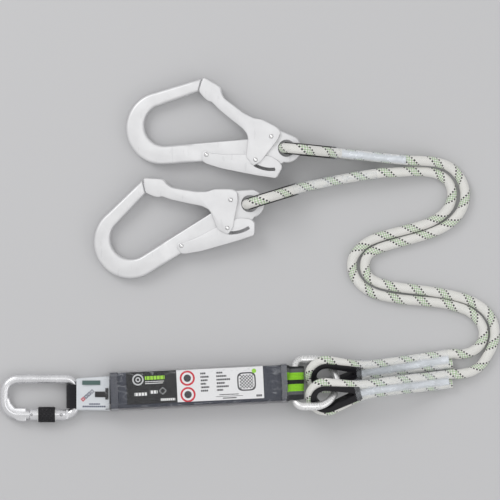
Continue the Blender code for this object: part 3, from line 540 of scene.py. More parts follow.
def smooth_route(route, per_span):
    """A smooth curve through every point of the route."""
    ends = [route[0] * 2 - route[1], *route, route[-1] * 2 - route[-2]]
    points = []
    for a, b, c, d in zip(ends, ends[1:], ends[2:], ends[3:]):
        for step in range(per_span):
            t = step / per_span
            points.append(((b * 2) + (c - a) * t + (a * 2 - b * 5 + c * 4 - d) * t * t
                           + (b * 3 - a - c * 3 + d) * t ** 3) / 2)
    return points + [route[-1]]


def eye_line(splice):
    """The rope's middle from the sleeve's far end, round the thimble and back to the cut end."""
    touch = 90.0 - math.degrees(LEG_ANGLE)
    near, count = 8.0, 70
    far = splice.length + LEG_TAIL
    stops = [near + (far - near) * i / count for i in range(count + 1)]
    running = [(along, leg_offset(along)) for along in reversed(stops)]
    cut_leg = [(along, -leg_offset(along)) for along in stops]
    bend = arc((0.0, 0.0), EYE_RADIUS, touch, 360.0 - touch, 44)
    return [splice.point(*spot) for spot in running + bend + cut_leg]


def whole_rope(pixels, rises, first, last):
    """The rope's full line, and the two places in it where the free stretch begins and ends."""
    start_eye, end_eye = eye_line(first)[::-1], eye_line(last)
    near, far = rises
    heights = near + [LYING_Z] * (len(pixels) - len(near) - len(far)) + far
    route = [start_eye[-1] + first.end_axis * ROPE_LEAD]
    route += [from_photo(*pixel, z) for pixel, z in zip(pixels, heights)]
    route.append(end_eye[0] + last.end_axis * ROPE_LEAD)
    free = smooth_route(route, 6)
    return start_eye + free + end_eye, len(start_eye) - 1, len(start_eye) + len(free)


print("route points", len(ROPE_A), len(ROPE_B))

# %% [markdown]
# ## Rope sheath
# The rope is a braided sheath over a core. Its plaits cross in two spirals, and each plait shows at every
# second crossing. One spiral carries two black plaits with three green ones between them, so from outside
# they appear as two dotted lines along a pale green band. The UV map holds the length along the rope in
# metres and the turns round it, so both spirals are simple sums of the two.

# %% Rope sheath material
ROPE_PITCH = 0.034
PLAITS = 12
YARN_DARK, YARN_LIGHT = (0.73, 0.725, 0.69), (0.92, 0.915, 0.88)
# Green and black yarn, then a grey that paints the shade in the grooves between plaits.
YARN_GREEN, YARN_BLACK, YARN_GROOVE_SHADE = (0.42, 0.58, 0.35), (0.012, 0.014, 0.012), (0.42, 0.41, 0.38)


def rope_sheath():
    sheath = Finish("rope_sheath", "rope", YARN_LIGHT, 0.75, Sheen_Weight=0.25, Sheen_Roughness=0.4)
    along, turns = sheath.measured()
    right_hand = (along / ROPE_PITCH - turns) * PLAITS
    left_hand = (along / ROPE_PITCH + turns) * PLAITS
    over = ((right_hand.floor() + left_hand.floor()) * 0.5).fraction() < 0.25
    plait = (right_hand.floor() / PLAITS).fraction() * PLAITS
    black = over * (plait < 0.5).either(plait.between(3.5, 4.5))
    green = over * plait.between(0.5, 3.5)
    crown = (right_hand.fraction() - 0.5) * (right_hand.fraction() - 0.5)
    crest = (left_hand.fraction() - 0.5) * (left_hand.fraction() - 0.5)
    height = 1.0 - (crown + crest) * 1.7
    strand = (over * right_hand + (1.0 - over) * left_hand) * 4.0
    yarn = sheath.mix(sheath.noise(900.0), YARN_DARK, YARN_LIGHT)
    colour = sheath.mix(black, sheath.mix(green, yarn, YARN_GREEN), YARN_BLACK)
    # Painted shade: where the braid dips between plaits, its colour is pulled towards a grey.
    groove_shade = (height < 0.42) * 0.35
    sheath.feed(Base_Color=sheath.mix(groove_shade, colour, YARN_GROOVE_SHADE))
    sheath.bump(height + (strand * math.tau).sine() * 0.10, 0.0006, 0.9)
    return sheath


ROPE_SHEATH = rope_sheath()
print("sheath with", PLAITS, "plaits each way")

# %% Ropes
ROPE_SIDES = 28


def rolled_frames(line):
    """Two side directions at each point, turning as little as they can along the line."""
    steps = [(b - a).normalized() for a, b in zip(line, line[1:])]
    headings = [steps[0]] + [(a + b).normalized() for a, b in zip(steps, steps[1:])] + [steps[-1]]
    side = headings[0].cross(UP).normalized()
    frames = []
    for heading in headings:
        side = (side - heading * side.dot(heading)).normalized()
        frames.append((side, heading.cross(side)))
    return frames


def make_rope(name, pixels, rises, first, last):
    line, free_start, free_end = whole_rope(pixels, rises, first, last)
    frames = rolled_frames(line)
    travelled = distances(line)

    def stretch(piece_name, node, start, stop):
        """The rope between two of its points."""
        part = slice(start, stop + 1)
        piece = tube(piece_name, line[part], frames[part], ROPE_RADIUS, ROPE_SIDES,
                     lambda u, v: (travelled[start + round(u * (stop - start))] * MM, v))
        settle(piece, "ring_and_ropes", ROPE_SHEATH, node)
        return piece

    stretch(first.name + "_braided_eye", first.name + "_rope_eye", 0, free_start)
    free = stretch(name + "_braided", name, free_start, free_end)
    stretch(last.name + "_braided_eye", last.name + "_rope_eye", free_end, len(line) - 1)
    path = [tuple(point * MM) for point in line[free_start:free_end + 1]]
    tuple(path[0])


make_rope("rope_a", ROPE_A, ROPE_A_RISES, ring_lower, hook_1)
make_rope("rope_b", ROPE_B, ROPE_B_RISES, ring_upper, hook_2)

# %% [markdown]
# ## Thimbles
# A thimble is a moulded teardrop with a deep groove for the rope, so that the bend stays wide and the metal
# it hangs on can't chafe the rope. Its section, carried once round the teardrop, gives both flanges, the
# groove and the rounded bore. It is modelled flat once, and a copy goes to each eye.

# %% Moulded black plastic
def moulded_black():
    plastic = Finish("moulded_black", "black_plastic", (0.010, 0.010, 0.012), 0.36, Specular_IOR_Level=0.30)
    scuff = plastic.noise(420.0, 4.0, (1.0, 0.25, 1.0))
    cloud = plastic.noise(60.0, 3.0)
    plastic.feed(Base_Color=plastic.mix(cloud, (0.005, 0.005, 0.006), (0.014, 0.013, 0.017)),
                 Roughness=0.27 + scuff * 0.22)
    plastic.bump(scuff * 0.5 + plastic.noise(1500.0) * 0.5, 0.00006, 0.5)
    return plastic


MOULDED_BLACK = moulded_black()

# %% Thimble shape
# Each line goes once round the teardrop: radius, tip and half width of the tip.
THIMBLE_LINES = {"bore": (11.2, 35.5, 0.8), "swell": (11.7, 36.0, 1.0), "lip": (12.7, 36.8, 1.3),
                 "face": (13.9, 38.0, 1.8), "edge": (18.7, 44.6, 8.4), "rim": (19.0, 45.0, 8.7),
                 "wall": (18.2, 44.2, 7.9), "root": (14.4, 42.2, 1.4), "floor": (13.6, 41.5, 0.4)}
# Half of the section: how far under the middle plane each line lies.
THIMBLE_HALF = [(-3.5, "bore"), (-5.6, "swell"), (-7.0, "lip"), (-7.3, "face"), (-7.3, "edge"), (-7.1, "rim"),
                (-6.6, "rim"), (-6.35, "edge"), (-6.3, "wall"), (-5.2, "root"), (-3.0, "floor")]


def teardrop(radius, tip, tip_half, arc_steps=40, leg_steps=12):
    """A round eye with straight legs to a blunt tip, with equal point counts for every size."""
    reach = math.hypot(tip, tip_half)
    touch = math.degrees(math.atan2(tip_half, tip) + math.acos(radius / reach))
    round_part = arc((0.0, 0.0), radius, touch, 360.0 - touch, arc_steps)
    ends = [Vector(round_part[-1]), Vector((tip, -tip_half)), Vector((tip, tip_half)), Vector(round_part[0])]
    lower = [tuple(ends[0].lerp(ends[1], i / leg_steps)) for i in range(1, leg_steps + 1)]
    upper = [tuple(ends[2].lerp(ends[3], i / leg_steps)) for i in range(leg_steps)]
    return round_part + lower + upper


section = THIMBLE_HALF + [(-z, name) for z, name in reversed(THIMBLE_HALF)]
outlines = {name: teardrop(*sizes) for name, sizes in THIMBLE_LINES.items()}
pattern = wrapped("thimble_pattern", [[(*outlines[name][i], z) for z, name in section]
                                      for i in range(len(outlines["bore"]))])
for splice in SPLICES:
    thimble = copy_of(pattern, splice.name + "_moulded_thimble")
    put_at(thimble, splice.matrix())
    settle(thimble, "ring_and_ropes", MOULDED_BLACK, splice.name + "_thimble", angle=40.0)
print("thimble corners", len(pattern.data.vertices))
bpy.data.objects.remove(pattern, do_unlink=True)

# %% [markdown]
# ## Sewn splices under clear film
# Behind each thimble the rope's two legs are sewn together, and a clear film is shrunk over them. The film
# stays flat where it bridges the two legs, and the light that flat band catches is painted: a pale highlight
# band where the film is made less clear. White zigzag thread shows through it. The film is a thin closed
# tube, slightly crinkled, made see-through with Alpha.

# %% Clear film material
# The painted highlight band's half width, and how far along the film it grows brighter, in metres.
HIGHLIGHT_HALF = 0.0058
HIGHLIGHT_START = 0.0450


def clear_film(name, tint, haze, crease_highlight, crinkle):
    """See-through film: haze is how much it veils, crease how bright the painted highlights on its crinkles
    are.
    """
    film = Finish(name, "film", tint, 0.14, Specular_IOR_Level=0.8, Coat_Weight=0.5, Coat_Roughness=0.08)
    fine = film.noise(260.0, 4.0)
    folds = film.noise(90.0, 3.0, (0.5, 1.4, 1.0))
    # Painted highlights: thin pale lines along the film's crinkles, shown by raising its Alpha there.
    crease_highlights = (abs(folds - 0.5) < 0.018) * crease_highlight
    film.feed(Roughness=0.08 + fine * 0.16)
    film.bump(folds * 0.7 + fine * 0.3, crinkle, 0.7)
    return film, crease_highlights, fine * haze * 2.0


def splice_film():
    """Shrunk film: clear on the legs, and a pale flat band where it bridges the valley between them. The
    pale band is a painted highlight, for the light that the flat bridge catches.
    """
    film, crease_highlights, veil = clear_film("shrink_film", (0.80, 0.84, 0.89), 0.05, 0.16, 0.0006)
    along, aside = film.measured()
    off_middle = aside / HIGHLIGHT_HALF
    # Painted highlight: a pale band down the film's middle, where its flat bridge catches the light.
    band = (1.0 - off_middle * off_middle) * ((off_middle * off_middle) < 1.0)
    past_tip = along > HIGHLIGHT_START
    film.feed(Alpha=veil + crease_highlights * past_tip + band * (0.06 + past_tip * (0.19 + film.noise(60.0) * 0.8)))
    return film


SLEEVE_FILM = splice_film()
SEWING = Finish("sewing_thread", "rope", (0.78, 0.78, 0.76), 0.65, Sheen_Weight=0.2)

# %% Sleeves and sewing
SLEEVE_START, SLEEVE_STEPS, SLEEVE_WALL = 38.5, 60, 0.4
# Where the painted highlight band starts on hook_1's sleeve, and a distance that keeps it off the other hook
# sleeves.
HOOK_HIGHLIGHT_START = 55.0
NO_HIGHLIGHT = 50.0
ZIGZAGS, ZIGZAG_HALF, THREAD_HEIGHT, THREAD_RADIUS = 34, 3.2, 5.55, 0.5
SEWING_INSET = 6.0


def rounded_section(half_x, half_y, corner, steps=6):
    """A rectangle with round corners, centred on the origin."""
    points = []
    for index, (sign_x, sign_y) in enumerate([(1, 1), (-1, 1), (-1, -1), (1, -1)]):
        centre = (sign_x * (half_x - corner), sign_y * (half_y - corner))
        points += arc(centre, corner, 90.0 * index, 90.0 * (index + 1), steps)
    return points


def make_film_sleeve(splice):
    """The film tube from the thimble's tip to the sewing's end, with an inner and an outer wall."""
    reach = splice.length - SLEEVE_START
    stations = [SLEEVE_START + reach * i / SLEEVE_STEPS for i in range(SLEEVE_STEPS + 1)]
    rings = []
    for order, inner in ((stations, False), (stations[::-1], True)):
        for along in order:
            over_tip = 1 - ease((along - RIGID_LENGTH) / 8.0)
            crinkle = 0.10 * math.sin(along * 1.7 + splice.length) + 0.06 * math.sin(along * 3.9)
            more = 0.0 if inner else SLEEVE_WALL + crinkle + 0.1
            half_width = leg_offset(along) + ROPE_RADIUS + 0.3 + more
            half_height = ROPE_RADIUS + 0.3 + 1.6 * over_tip + more
            section = rounded_section(half_width, half_height, half_height - 0.4 - 2.2 * over_tip)
            rings.append([(along, x, y) for x, y in section])

    def measure(spot):
        """How far along the sleeve and how far from the middle of its painted highlight band."""
        along, x, y = spot
        if splice is hook_1 and x > 0.0 and along > HOOK_HIGHLIGHT_START:
            x = y
        elif splice in (hook_1, hook_2):
            x = NO_HIGHLIGHT
        return along * MM, x * MM

    piece = wrapped(splice.name + "_film_sleeve", rings, lambda spot: splice.point(*spot), measure)
    settle(piece, "ring_and_ropes", SLEEVE_FILM, splice.name + "_sleeve", angle=50.0)


def make_sewing(splice):
    """Zigzag thread on both sides of the splice, one strand pressed into the valley between the legs."""
    start, reach = RIGID_LENGTH + SEWING_INSET, splice.length - RIGID_LENGTH - 2 * SEWING_INSET
    for side_name, side in (("top", 1.0), ("bottom", -1.0)):
        line = [splice.point(start + reach * i / (2 * ZIGZAGS), ZIGZAG_HALF if i % 2 else -ZIGZAG_HALF,
                             side * THREAD_HEIGHT) for i in range(2 * ZIGZAGS + 1)]
        thread = tube(f"{splice.name}_sewing_{side_name}", line, rolled_frames(line), THREAD_RADIUS, 6)
        settle(thread, "ring_and_ropes", SEWING)


for splice in SPLICES:
    make_film_sleeve(splice)
    make_sewing(splice)
print("four film sleeves with sewing")

# %% [markdown]
# ## Bright steel
# The ring and the karabiner are bent from round bar and zinc plated. Plating is bright but never a mirror:
# a fine brushed grain along the bar and faint handling marks break up the reflection.

# %% Plated steel


def plated(name, slot, dark, light, rough, metallic=1.0):
    """Bare metal between two greys."""
    steel = Finish(name, slot, light, rough, Metallic=metallic)
    cloud = steel.noise(55.0, 4.0)
    brushed = steel.noise(900.0, 3.0)
    scratches = steel.noise(240.0, 6.0, (1.0, 0.2, 1.0))
    marks = (scratches > 0.66) * 0.18
    steel.feed(Base_Color=steel.mix(cloud * 0.7 + marks, light, dark),
               Roughness=rough + brushed * 0.12 + marks * 0.3)
    steel.bump(brushed * 0.6 + cloud * 0.4, 0.00004, 0.5)
    return steel


RING_STEEL = plated("ring_steel", "steel", (0.64, 0.64, 0.64), (0.93, 0.93, 0.93), 0.22, 0.68)
KARABINER_STEEL = plated("karabiner_steel", "steel", (0.50, 0.50, 0.52), (0.86, 0.86, 0.88), 0.20, 0.75)
PIN_STEEL = plated("pin_steel", "bright_steel", (0.55, 0.55, 0.55), (0.90, 0.90, 0.90), 0.16)
SPRING_STEEL = plated("spring_steel", "bright_steel", (0.30, 0.30, 0.31), (0.60, 0.60, 0.62), 0.30)
HOOK_ALLOY = plated("hook_alloy", "hook_metal", (0.60, 0.60, 0.61), (0.80, 0.80, 0.81), 0.36, 0.50)

# %% [markdown]
# ## Bending a bar
# A bar is bent as in a workshop. A disc is the bar's cut face: extruding it makes a straight stretch, and
# spinning it about a point makes a bend. The last face of each step is what the next step carries on.

# %% Bend a bar
BAR_SIDES = 32
DEGREES_PER_STEP = 6


def bent_bar(name, start, radius, steps, closed=False):
    """A round bar in the XY plane that starts along +X: ("go", x, y) or ("bend", centre, degrees)."""
    bpy.ops.mesh.primitive_circle_add(vertices=BAR_SIDES, radius=radius * MM, fill_type="NOTHING",
                                      location=Vector(start) * MM, rotation=(0.0, math.pi / 2, 0.0))
    piece = name_piece(name)
    bpy.ops.object.transform_apply(location=True, rotation=True, scale=True)
    bpy.ops.object.mode_set(mode="EDIT")
    bpy.ops.mesh.select_all(action="SELECT")
    for kind, *how in steps:
        if kind == "go":
            move = Vector((how[0], how[1], 0.0)) * MM
            bpy.ops.mesh.extrude_region_move(TRANSFORM_OT_translate={"value": move})
        else:
            (x, y), degrees = how
            bpy.ops.mesh.spin(steps=int(degrees / DEGREES_PER_STEP), angle=-math.radians(degrees),
                              center=Vector((x, y, start[2])) * MM, axis=(0.0, 0.0, 1.0))
    bpy.ops.object.mode_set(mode="OBJECT")
    edit(piece, (lambda: merge(2e-5)) if closed else close_ends, face_out)
    return piece


# %% Ring
RING_BAR = 4.5
RING_TILT = math.radians(30.3)
RING_BOW_X = 142.25
RING_HALF = 29.0
RING_CORNER = 10.0
corner_x = 119.0 - RING_BOW_X + RING_CORNER
corner_y = RING_HALF - RING_CORNER
ring = bent_bar("welded_ring", (corner_x, -RING_HALF, 0.0), RING_BAR, [
    ("go", -corner_x, 0.0), ("bend", (0.0, 0.0), 180.0),
    ("go", corner_x, 0.0), ("bend", (corner_x, corner_y), 90.0),
    ("go", 0.0, -2 * corner_y), ("bend", (corner_x, -corner_y), 90.0)], closed=True)
slope = Matrix.Diagonal((1.0, 1.0 / math.cos(RING_TILT), 1.0, 1.0))
ring_place = Matrix.Translation(Vector((RING_BOW_X, 6.1, 23.8)) * MM) @ Matrix.Rotation(-RING_TILT, 4, "X")
put_at(ring, ring_place @ slope)
settle(ring, "ring_and_ropes", RING_STEEL, "webbing_ring", angle=60.0)
print("ring corners", len(ring.data.vertices))

# %% [markdown]
# ## Karabiner
# The karabiner is one bent bar whose last side is a hinged gate. The bar starts at the gate's hinge, goes
# round four bends and ends in a broad nose with a small claw, which hooks a pin inside the gate's open end.
# The hinge end is cut down to a flat tongue that the gate's fork straddles.

# %% Karabiner frame
KARABINER_Z = 9.75
GATE_Y = -34.1
HINGE_X = -173.5
NOSE_X = -214.0
LATCH_X = HINGE_X - 37.0
HINGE = (HINGE_X, GATE_Y)
LATCH = (LATCH_X, GATE_Y)
TONGUE_HALF = 2.0
EYE_ROOM = 9.6
THROUGH = 9.0
PIN_HOLE_RADIUS = 1.9

karabiner = bent_bar("bent_karabiner", (*HINGE, KARABINER_Z), 5.6, [
    ("go", 5.7, 0.0), ("bend", (-167.8, -22.1), 90.0),
    ("go", 0.0, 20.5), ("bend", (-167.8, -1.6), 90.0),
    ("go", -60.2, 0.0), ("bend", (-228.0, -6.0), 90.0),
    ("go", 0.0, -11.7), ("bend", (-228.0, -17.7), 90.0),
    ("go", 14.0, 0.0)])
cut(karabiner, disc(HINGE, EYE_ROOM), TONGUE_HALF, THROUGH, KARABINER_Z)
cut(karabiner, disc(HINGE, EYE_ROOM), -THROUGH, -TONGUE_HALF, KARABINER_Z)
join(karabiner, disc(HINGE, 5.3), TONGUE_HALF, 0.2, KARABINER_Z)
cut(karabiner, disc(HINGE, PIN_HOLE_RADIUS), -THROUGH, THROUGH, KARABINER_Z)
head = [(NOSE_X - 3.3, -42.5), (NOSE_X - 3.3, -25.7), (-231.5, -25.7), (-236.6, -19.4), (-238.7, -12.8),
        (-244.0, -13.0), (-243.5, -24.0), (-240.5, -31.0), (-234.5, -37.2), (-229.4, -41.0), (-224.0, -42.5)]
join(karabiner, head, 4.8, 1.6, KARABINER_Z)
join(karabiner, rectangle(NOSE_X - 2.0, GATE_Y - 4.2, NOSE_X + 7.2, GATE_Y + 3.0), 1.5, 0.3, KARABINER_Z)
cut(karabiner, rectangle(LATCH_X - 1.7, GATE_Y - 1.8, LATCH_X + 1.7, GATE_Y + 8.0), -3.0, 3.0, KARABINER_Z)
settle(karabiner, "karabiner", KARABINER_STEEL, "karabiner_frame", angle=40.0)
print("karabiner corners", len(karabiner.data.vertices))

# %% [markdown]
# ## Turned pieces
# The gate, its lock and the pins are turned on a lathe. A list of (place along the axis, radius) is carried
# once round the axis. A list that ends where it starts gives a ring with a bore.

# %% Gate, lock and pins
LOCK_LEFT, LOCK_RIGHT, RIM = -203.4, -180.2, 0.8
GRIP_RADIUS, KNURLS, KNURL_PITCH, KNURL_DEPTH, KNURL_STEPS = 9.75, 12, 5.1, 0.75, 66


def turned(name, profile, sides=40, ring=False, radius_at=lambda x, r, turn: r):
    """A piece turned about the gate's axis."""
    rows = len(profile) if ring else len(profile) - 1

    def place(u, v):
        x, r = profile[round(u * rows) % len(profile)]
        r = radius_at(x, r, v)
        return Vector((x, GATE_Y + r * math.cos(math.tau * v), KARABINER_Z + r * math.sin(math.tau * v)))

    piece = bent_grid(name, rows, sides, place)
    edit(piece, merge, *([] if ring else [close_ends]), face_out)
    return piece


def knurled(x, radius, turn):
    """Diamond knurling: two crossed spirals of fine ridges, left out where the grip is bored."""
    if radius < GRIP_RADIUS:
        return radius
    first = abs((turn * KNURLS + x / KNURL_PITCH) % 1.0 - 0.5) * 2
    second = abs((turn * KNURLS - x / KNURL_PITCH) % 1.0 - 0.5) * 2
    return radius - KNURL_DEPTH * (1 - min(1.0, 1.5 * min(first, second)))


gate = turned("turned_gate", [(HINGE_X + x, r) for x, r in [(-39.5, 6.6), (-39.35, 6.95), (-39.0, 7.25),
                                                           (5.2, 7.25), (5.8, 7.0), (6.0, 6.6)]])
cut(gate, rectangle(HINGE_X - 8.0, -50.0, HINGE_X + 8.0, -20.0), -2.3, 2.3, KARABINER_Z)
cut(gate, rectangle(HINGE_X - 41.0, -50.0, HINGE_X - 32.0, -20.0), -1.8, 1.8, KARABINER_Z)
shape_with(gate, turned("cutter", [(HINGE_X - 29.0, 3.0), (HINGE_X - 5.2, 3.0)]))
cut(gate, disc(HINGE, PIN_HOLE_RADIUS), -THROUGH, THROUGH, KARABINER_Z)
cut(gate, disc(LATCH, 1.5), -THROUGH, THROUGH, KARABINER_Z)
seam = rectangle(HINGE_X - 38.0, GATE_Y - 0.35, HINGE_X - 1.5, GATE_Y + 0.35)
cut(gate, seam, 6.6, THROUGH, KARABINER_Z)
settle(gate, "karabiner_gate", KARABINER_STEEL, "karabiner_gate", angle=40.0)

liner = turned("lock_liner", [
    (LOCK_LEFT, 7.55), (LOCK_RIGHT, 7.55), (LOCK_RIGHT, 9.3), (LOCK_RIGHT - 0.2, 9.5),
    (LOCK_RIGHT - RIM, 9.5), (LOCK_RIGHT - RIM, 8.15), (LOCK_LEFT + RIM, 8.15), (LOCK_LEFT + RIM, 9.5),
    (LOCK_LEFT + 0.2, 9.5), (LOCK_LEFT, 9.3)], 64, True)
settle(liner, "lock_sleeve", PIN_STEEL, "karabiner_lock_sleeve", angle=40.0)

grip_left, grip_right = LOCK_LEFT + RIM + 0.3, LOCK_RIGHT - RIM - 0.3
ridge = grip_right - grip_left - 1.4
crest = [(grip_right - 0.7 - ridge * i / KNURL_STEPS, GRIP_RADIUS) for i in range(KNURL_STEPS + 1)]
grip = turned("knurled_grip", [(grip_left, 8.45), (grip_right, 8.45), (grip_right, 9.05), *crest,
                               (grip_left, 9.05)], 240, True, knurled)
settle(grip, "lock_grip", MOULDED_BLACK, "karabiner_lock_grip", angle=25.0)

for name, node, spot, radius, half, body in (
        ("hinge_pin", "karabiner_gate_pin", HINGE, 1.6, 7.0, "karabiner"),
        ("catch_pin", "karabiner_latch_pin", LATCH, 1.2, 5.5, "karabiner_gate")):
    pin = plate(name, disc(spot, radius, 24), KARABINER_Z - half, KARABINER_Z + half, 0.35)
    settle(pin, body, SPRING_STEEL, node, angle=40.0)
for node in ("karabiner_gate_plunger", "karabiner_gate_spring"):
    SPRING_STEEL.cover(NODES[node])
print("gate, liner, grip and pins")

# %% [markdown]
# ## Webbing
# Webbing is a flat strap woven from thick polyester yarn. Lengthways ribs run side by side, and each is
# crossed by short picks that are offset from rib to rib. The straps are bent grids given their thickness
# with Solidify, and their weave reads the UV map in metres, so it keeps its scale on every strap.

# %% Woven strap material
# A near black that paints the shade in the low places between ribs and picks.
RIB_GAP_SHADE = (0.004, 0.004, 0.004)
NEAR_STRIPE = (0.030, 0.032, 0.036)
GREEN_STRIPE = (0.300, 0.720, 0.030)
# Where each further stripe begins, and its colour.
STRIPES = [(-0.0159, (0.130, 0.135, 0.140)), (-0.0113, GREEN_STRIPE), (-0.0015, (0.016, 0.020, 0.016)),
           (0.0043, GREEN_STRIPE), (0.0140, (0.135, 0.140, 0.145)), (0.0194, (0.020, 0.022, 0.024))]


def woven(name, slot, paint, rib=0.0019, pick=0.0016):
    """Ribbed webbing. paint(finish, across) gives the yarn's colour at a place across the strap."""
    cloth = Finish(name, slot, RIB_GAP_SHADE, 0.8, Specular_IOR_Level=0.25, Sheen_Weight=0.10)
    along, across = cloth.measured()
    ribs = across / rib
    rib_side = abs(ribs.fraction() - 0.5) * 2.0
    picks = abs((along / pick + ribs.floor() * 0.5).fraction() - 0.5) * 2.0
    height = 1.0 - rib_side * rib_side * 0.6 - picks * picks * 0.4
    yarn = cloth.noise(700.0, 3.0)
    # Painted shade in the low places between ribs and picks, plus random yarn tone from the noise.
    gap_shade_and_yarn_tone = (height < 0.45) * 0.45 + yarn * 0.25
    cloth.feed(Base_Color=cloth.mix(gap_shade_and_yarn_tone, paint(cloth, across), RIB_GAP_SHADE), Roughness=0.66 + yarn * 0.25)
    cloth.bump(height + yarn * 0.25, 0.0005, 0.8)
    return cloth


def striped(cloth, across):
    """Stripes from the strap's near edge to its far edge, each laid over the ones before."""
    colour = NEAR_STRIPE
    for edge, paint in STRIPES:
        colour = cloth.mix(across > edge, colour, paint)
    return colour


def plain(*colour):
    return lambda cloth, across: colour


BLACK_WEBBING = woven("black_webbing", "black_webbing", plain(0.016, 0.016, 0.020))
STRIPED_WEBBING = woven("striped_webbing", "striped_webbing", striped)
TEAR_WEBBING = woven("tear_webbing", "grey_webbing", plain(0.070, 0.076, 0.100), 0.0011, 0.0013)
print("three weaves")

# %% Strap helper
PACK_TURN = math.radians(2.77)
WEBBING_THICKNESS = 2.2


def pack_line(x):
    """The pack's middle line, as Y over X."""
    return x * math.tan(PACK_TURN)


def loop_line(x):
    """The black loop's middle line, which bends towards the karabiner's middle."""
    share = ease((-113.0 - x) / 40.0)
    return pack_line(x) * (1 - share) - 11.1 * share


def strap(name, path, width, line, tilt=lambda x: 0.0, thickness=WEBBING_THICKNESS, steps_across=12):
    """A strap along (x, z) points whose width is turned about X by a tilt."""
    travelled = distances([Vector(point) for point in path])
    count = len(path) - 1

    def place(u, v):
        x, z = path[round(u * count)]
        across = Vector((0.0, math.cos(tilt(x)), -math.sin(tilt(x))))
        return Vector((x, line(x), z)) + across * width * (v - 0.5)

    def measure(u, v):
        return travelled[round(u * count)] * MM, (v - 0.5) * width * MM

    piece = bent_grid(name, count, steps_across, place, measure)
    apply_modifier(piece, "SOLIDIFY", thickness=thickness * MM, offset=0.0, use_even_offset=True)
    apply_modifier(piece, "BEVEL", width=0.45 * MM, segments=2, limit_method="ANGLE",
                   angle_limit=math.radians(60.0))
    edit(piece, face_out)
    return piece


def loop_path(upper, lower, start, stop, middle, reach_x, reach_up, reach_down):
    """A path that runs in along the upper points, round the fold and back along the lower ones."""
    fold = [(middle[0] + reach_x * x, middle[1] + (reach_up if z > 0 else reach_down) * z)
            for x, z in arc((0.0, 0.0), 1.0, start, stop, 20)]
    return [Vector(point) for point in smooth_route([Vector(point) for point in upper + fold + lower], 3)]


# %% Both loops
black_path = loop_path([(-104.6, 21.0), (-120.0, 20.2), (-135.0, 18.9), (-149.4, 18.1)],
                       [(-149.4, 2.6), (-135.0, 5.0), (-120.0, 8.0), (-104.6, 9.0)],
                       90.0, 270.0, (-155.8, KARABINER_Z), 10.4, 10.6, 8.4)
black_loop = strap("black_woven_loop", black_path, 30.0, loop_line)
settle(black_loop, "pack", BLACK_WEBBING, "karabiner_webbing_loop")

striped_path = loop_path([(105.4, 22.5), (108.5, 24.5), (111.5, 28.4), (114.6, 32.1)],
                         [(114.6, 13.0), (111.5, 11.6), (108.5, 10.2), (105.4, 9.0)],
                         90.0, -90.0, (119.0, 23.8), 9.8, 9.8, 9.8)
striped_loop = strap("striped_woven_loop", striped_path, 45.0, pack_line,
                     lambda x: math.radians(24.5) * ease((x - 107.5) / 5.5), steps_across=16)
settle(striped_loop, "pack", STRIPED_WEBBING, "ring_webbing_loop")
print("loops", len(black_path), len(striped_path), "points")

# %% [markdown]
# ## Tear webbing
# Inside the film lies one long strap, folded to and fro in ten layers. In a fall its stitched layers tear
# apart and soak up the energy. The top layer shows through the clear film at both ends of the labels.

# %% Folded tear webbing
LAYERS, LAYER, LAYER_GAP = 10, 2.35, 0.38
HALF_LENGTH = 103.6
TEAR_WIDTH = 44.0
UNDERSIDE = 1.0


def folded_path():
    pitch = LAYER + LAYER_GAP
    bottom = UNDERSIDE + LAYER / 2
    path = []
    for layer in range(LAYERS):
        side = 1 if layer % 2 == 0 else -1
        z = bottom + layer * pitch
        first = -HALF_LENGTH if layer == 0 else side * (pitch - HALF_LENGTH)
        last = -HALF_LENGTH if layer == LAYERS - 1 else side * (HALF_LENGTH - pitch)
        path += [(first + (last - first) * i / 12, z) for i in range(1, 12)]
        if layer < LAYERS - 1:
            fold = arc((0.0, 0.0), pitch / 2, -90.0, 90.0, 6)
            path += [(last + side * x, z + pitch / 2 + y) for x, y in fold]
    return [(-HALF_LENGTH, bottom)] + path + [(-HALF_LENGTH, bottom + (LAYERS - 1) * pitch)]


PACK_PLACE = Matrix.Rotation(PACK_TURN, 4, "Z")
tear = strap("folded_tear_webbing", folded_path(), TEAR_WIDTH, lambda x: 0.8, thickness=LAYER)
put_at(tear, PACK_PLACE)
settle(tear, "pack", TEAR_WEBBING, "absorber_webbing")
print("tear webbing corners", len(tear.data.vertices))

# %% [markdown]
# ## Label cards
# Two printed cards lie on the webbing under the film. Their print is generic: plain bars where lines of
# writing would be, plain rings and a checked square. Each mark is a mask made of a few comparisons on the
# card's own measured places, so the print stays sharp at any distance.

# %% Print masks


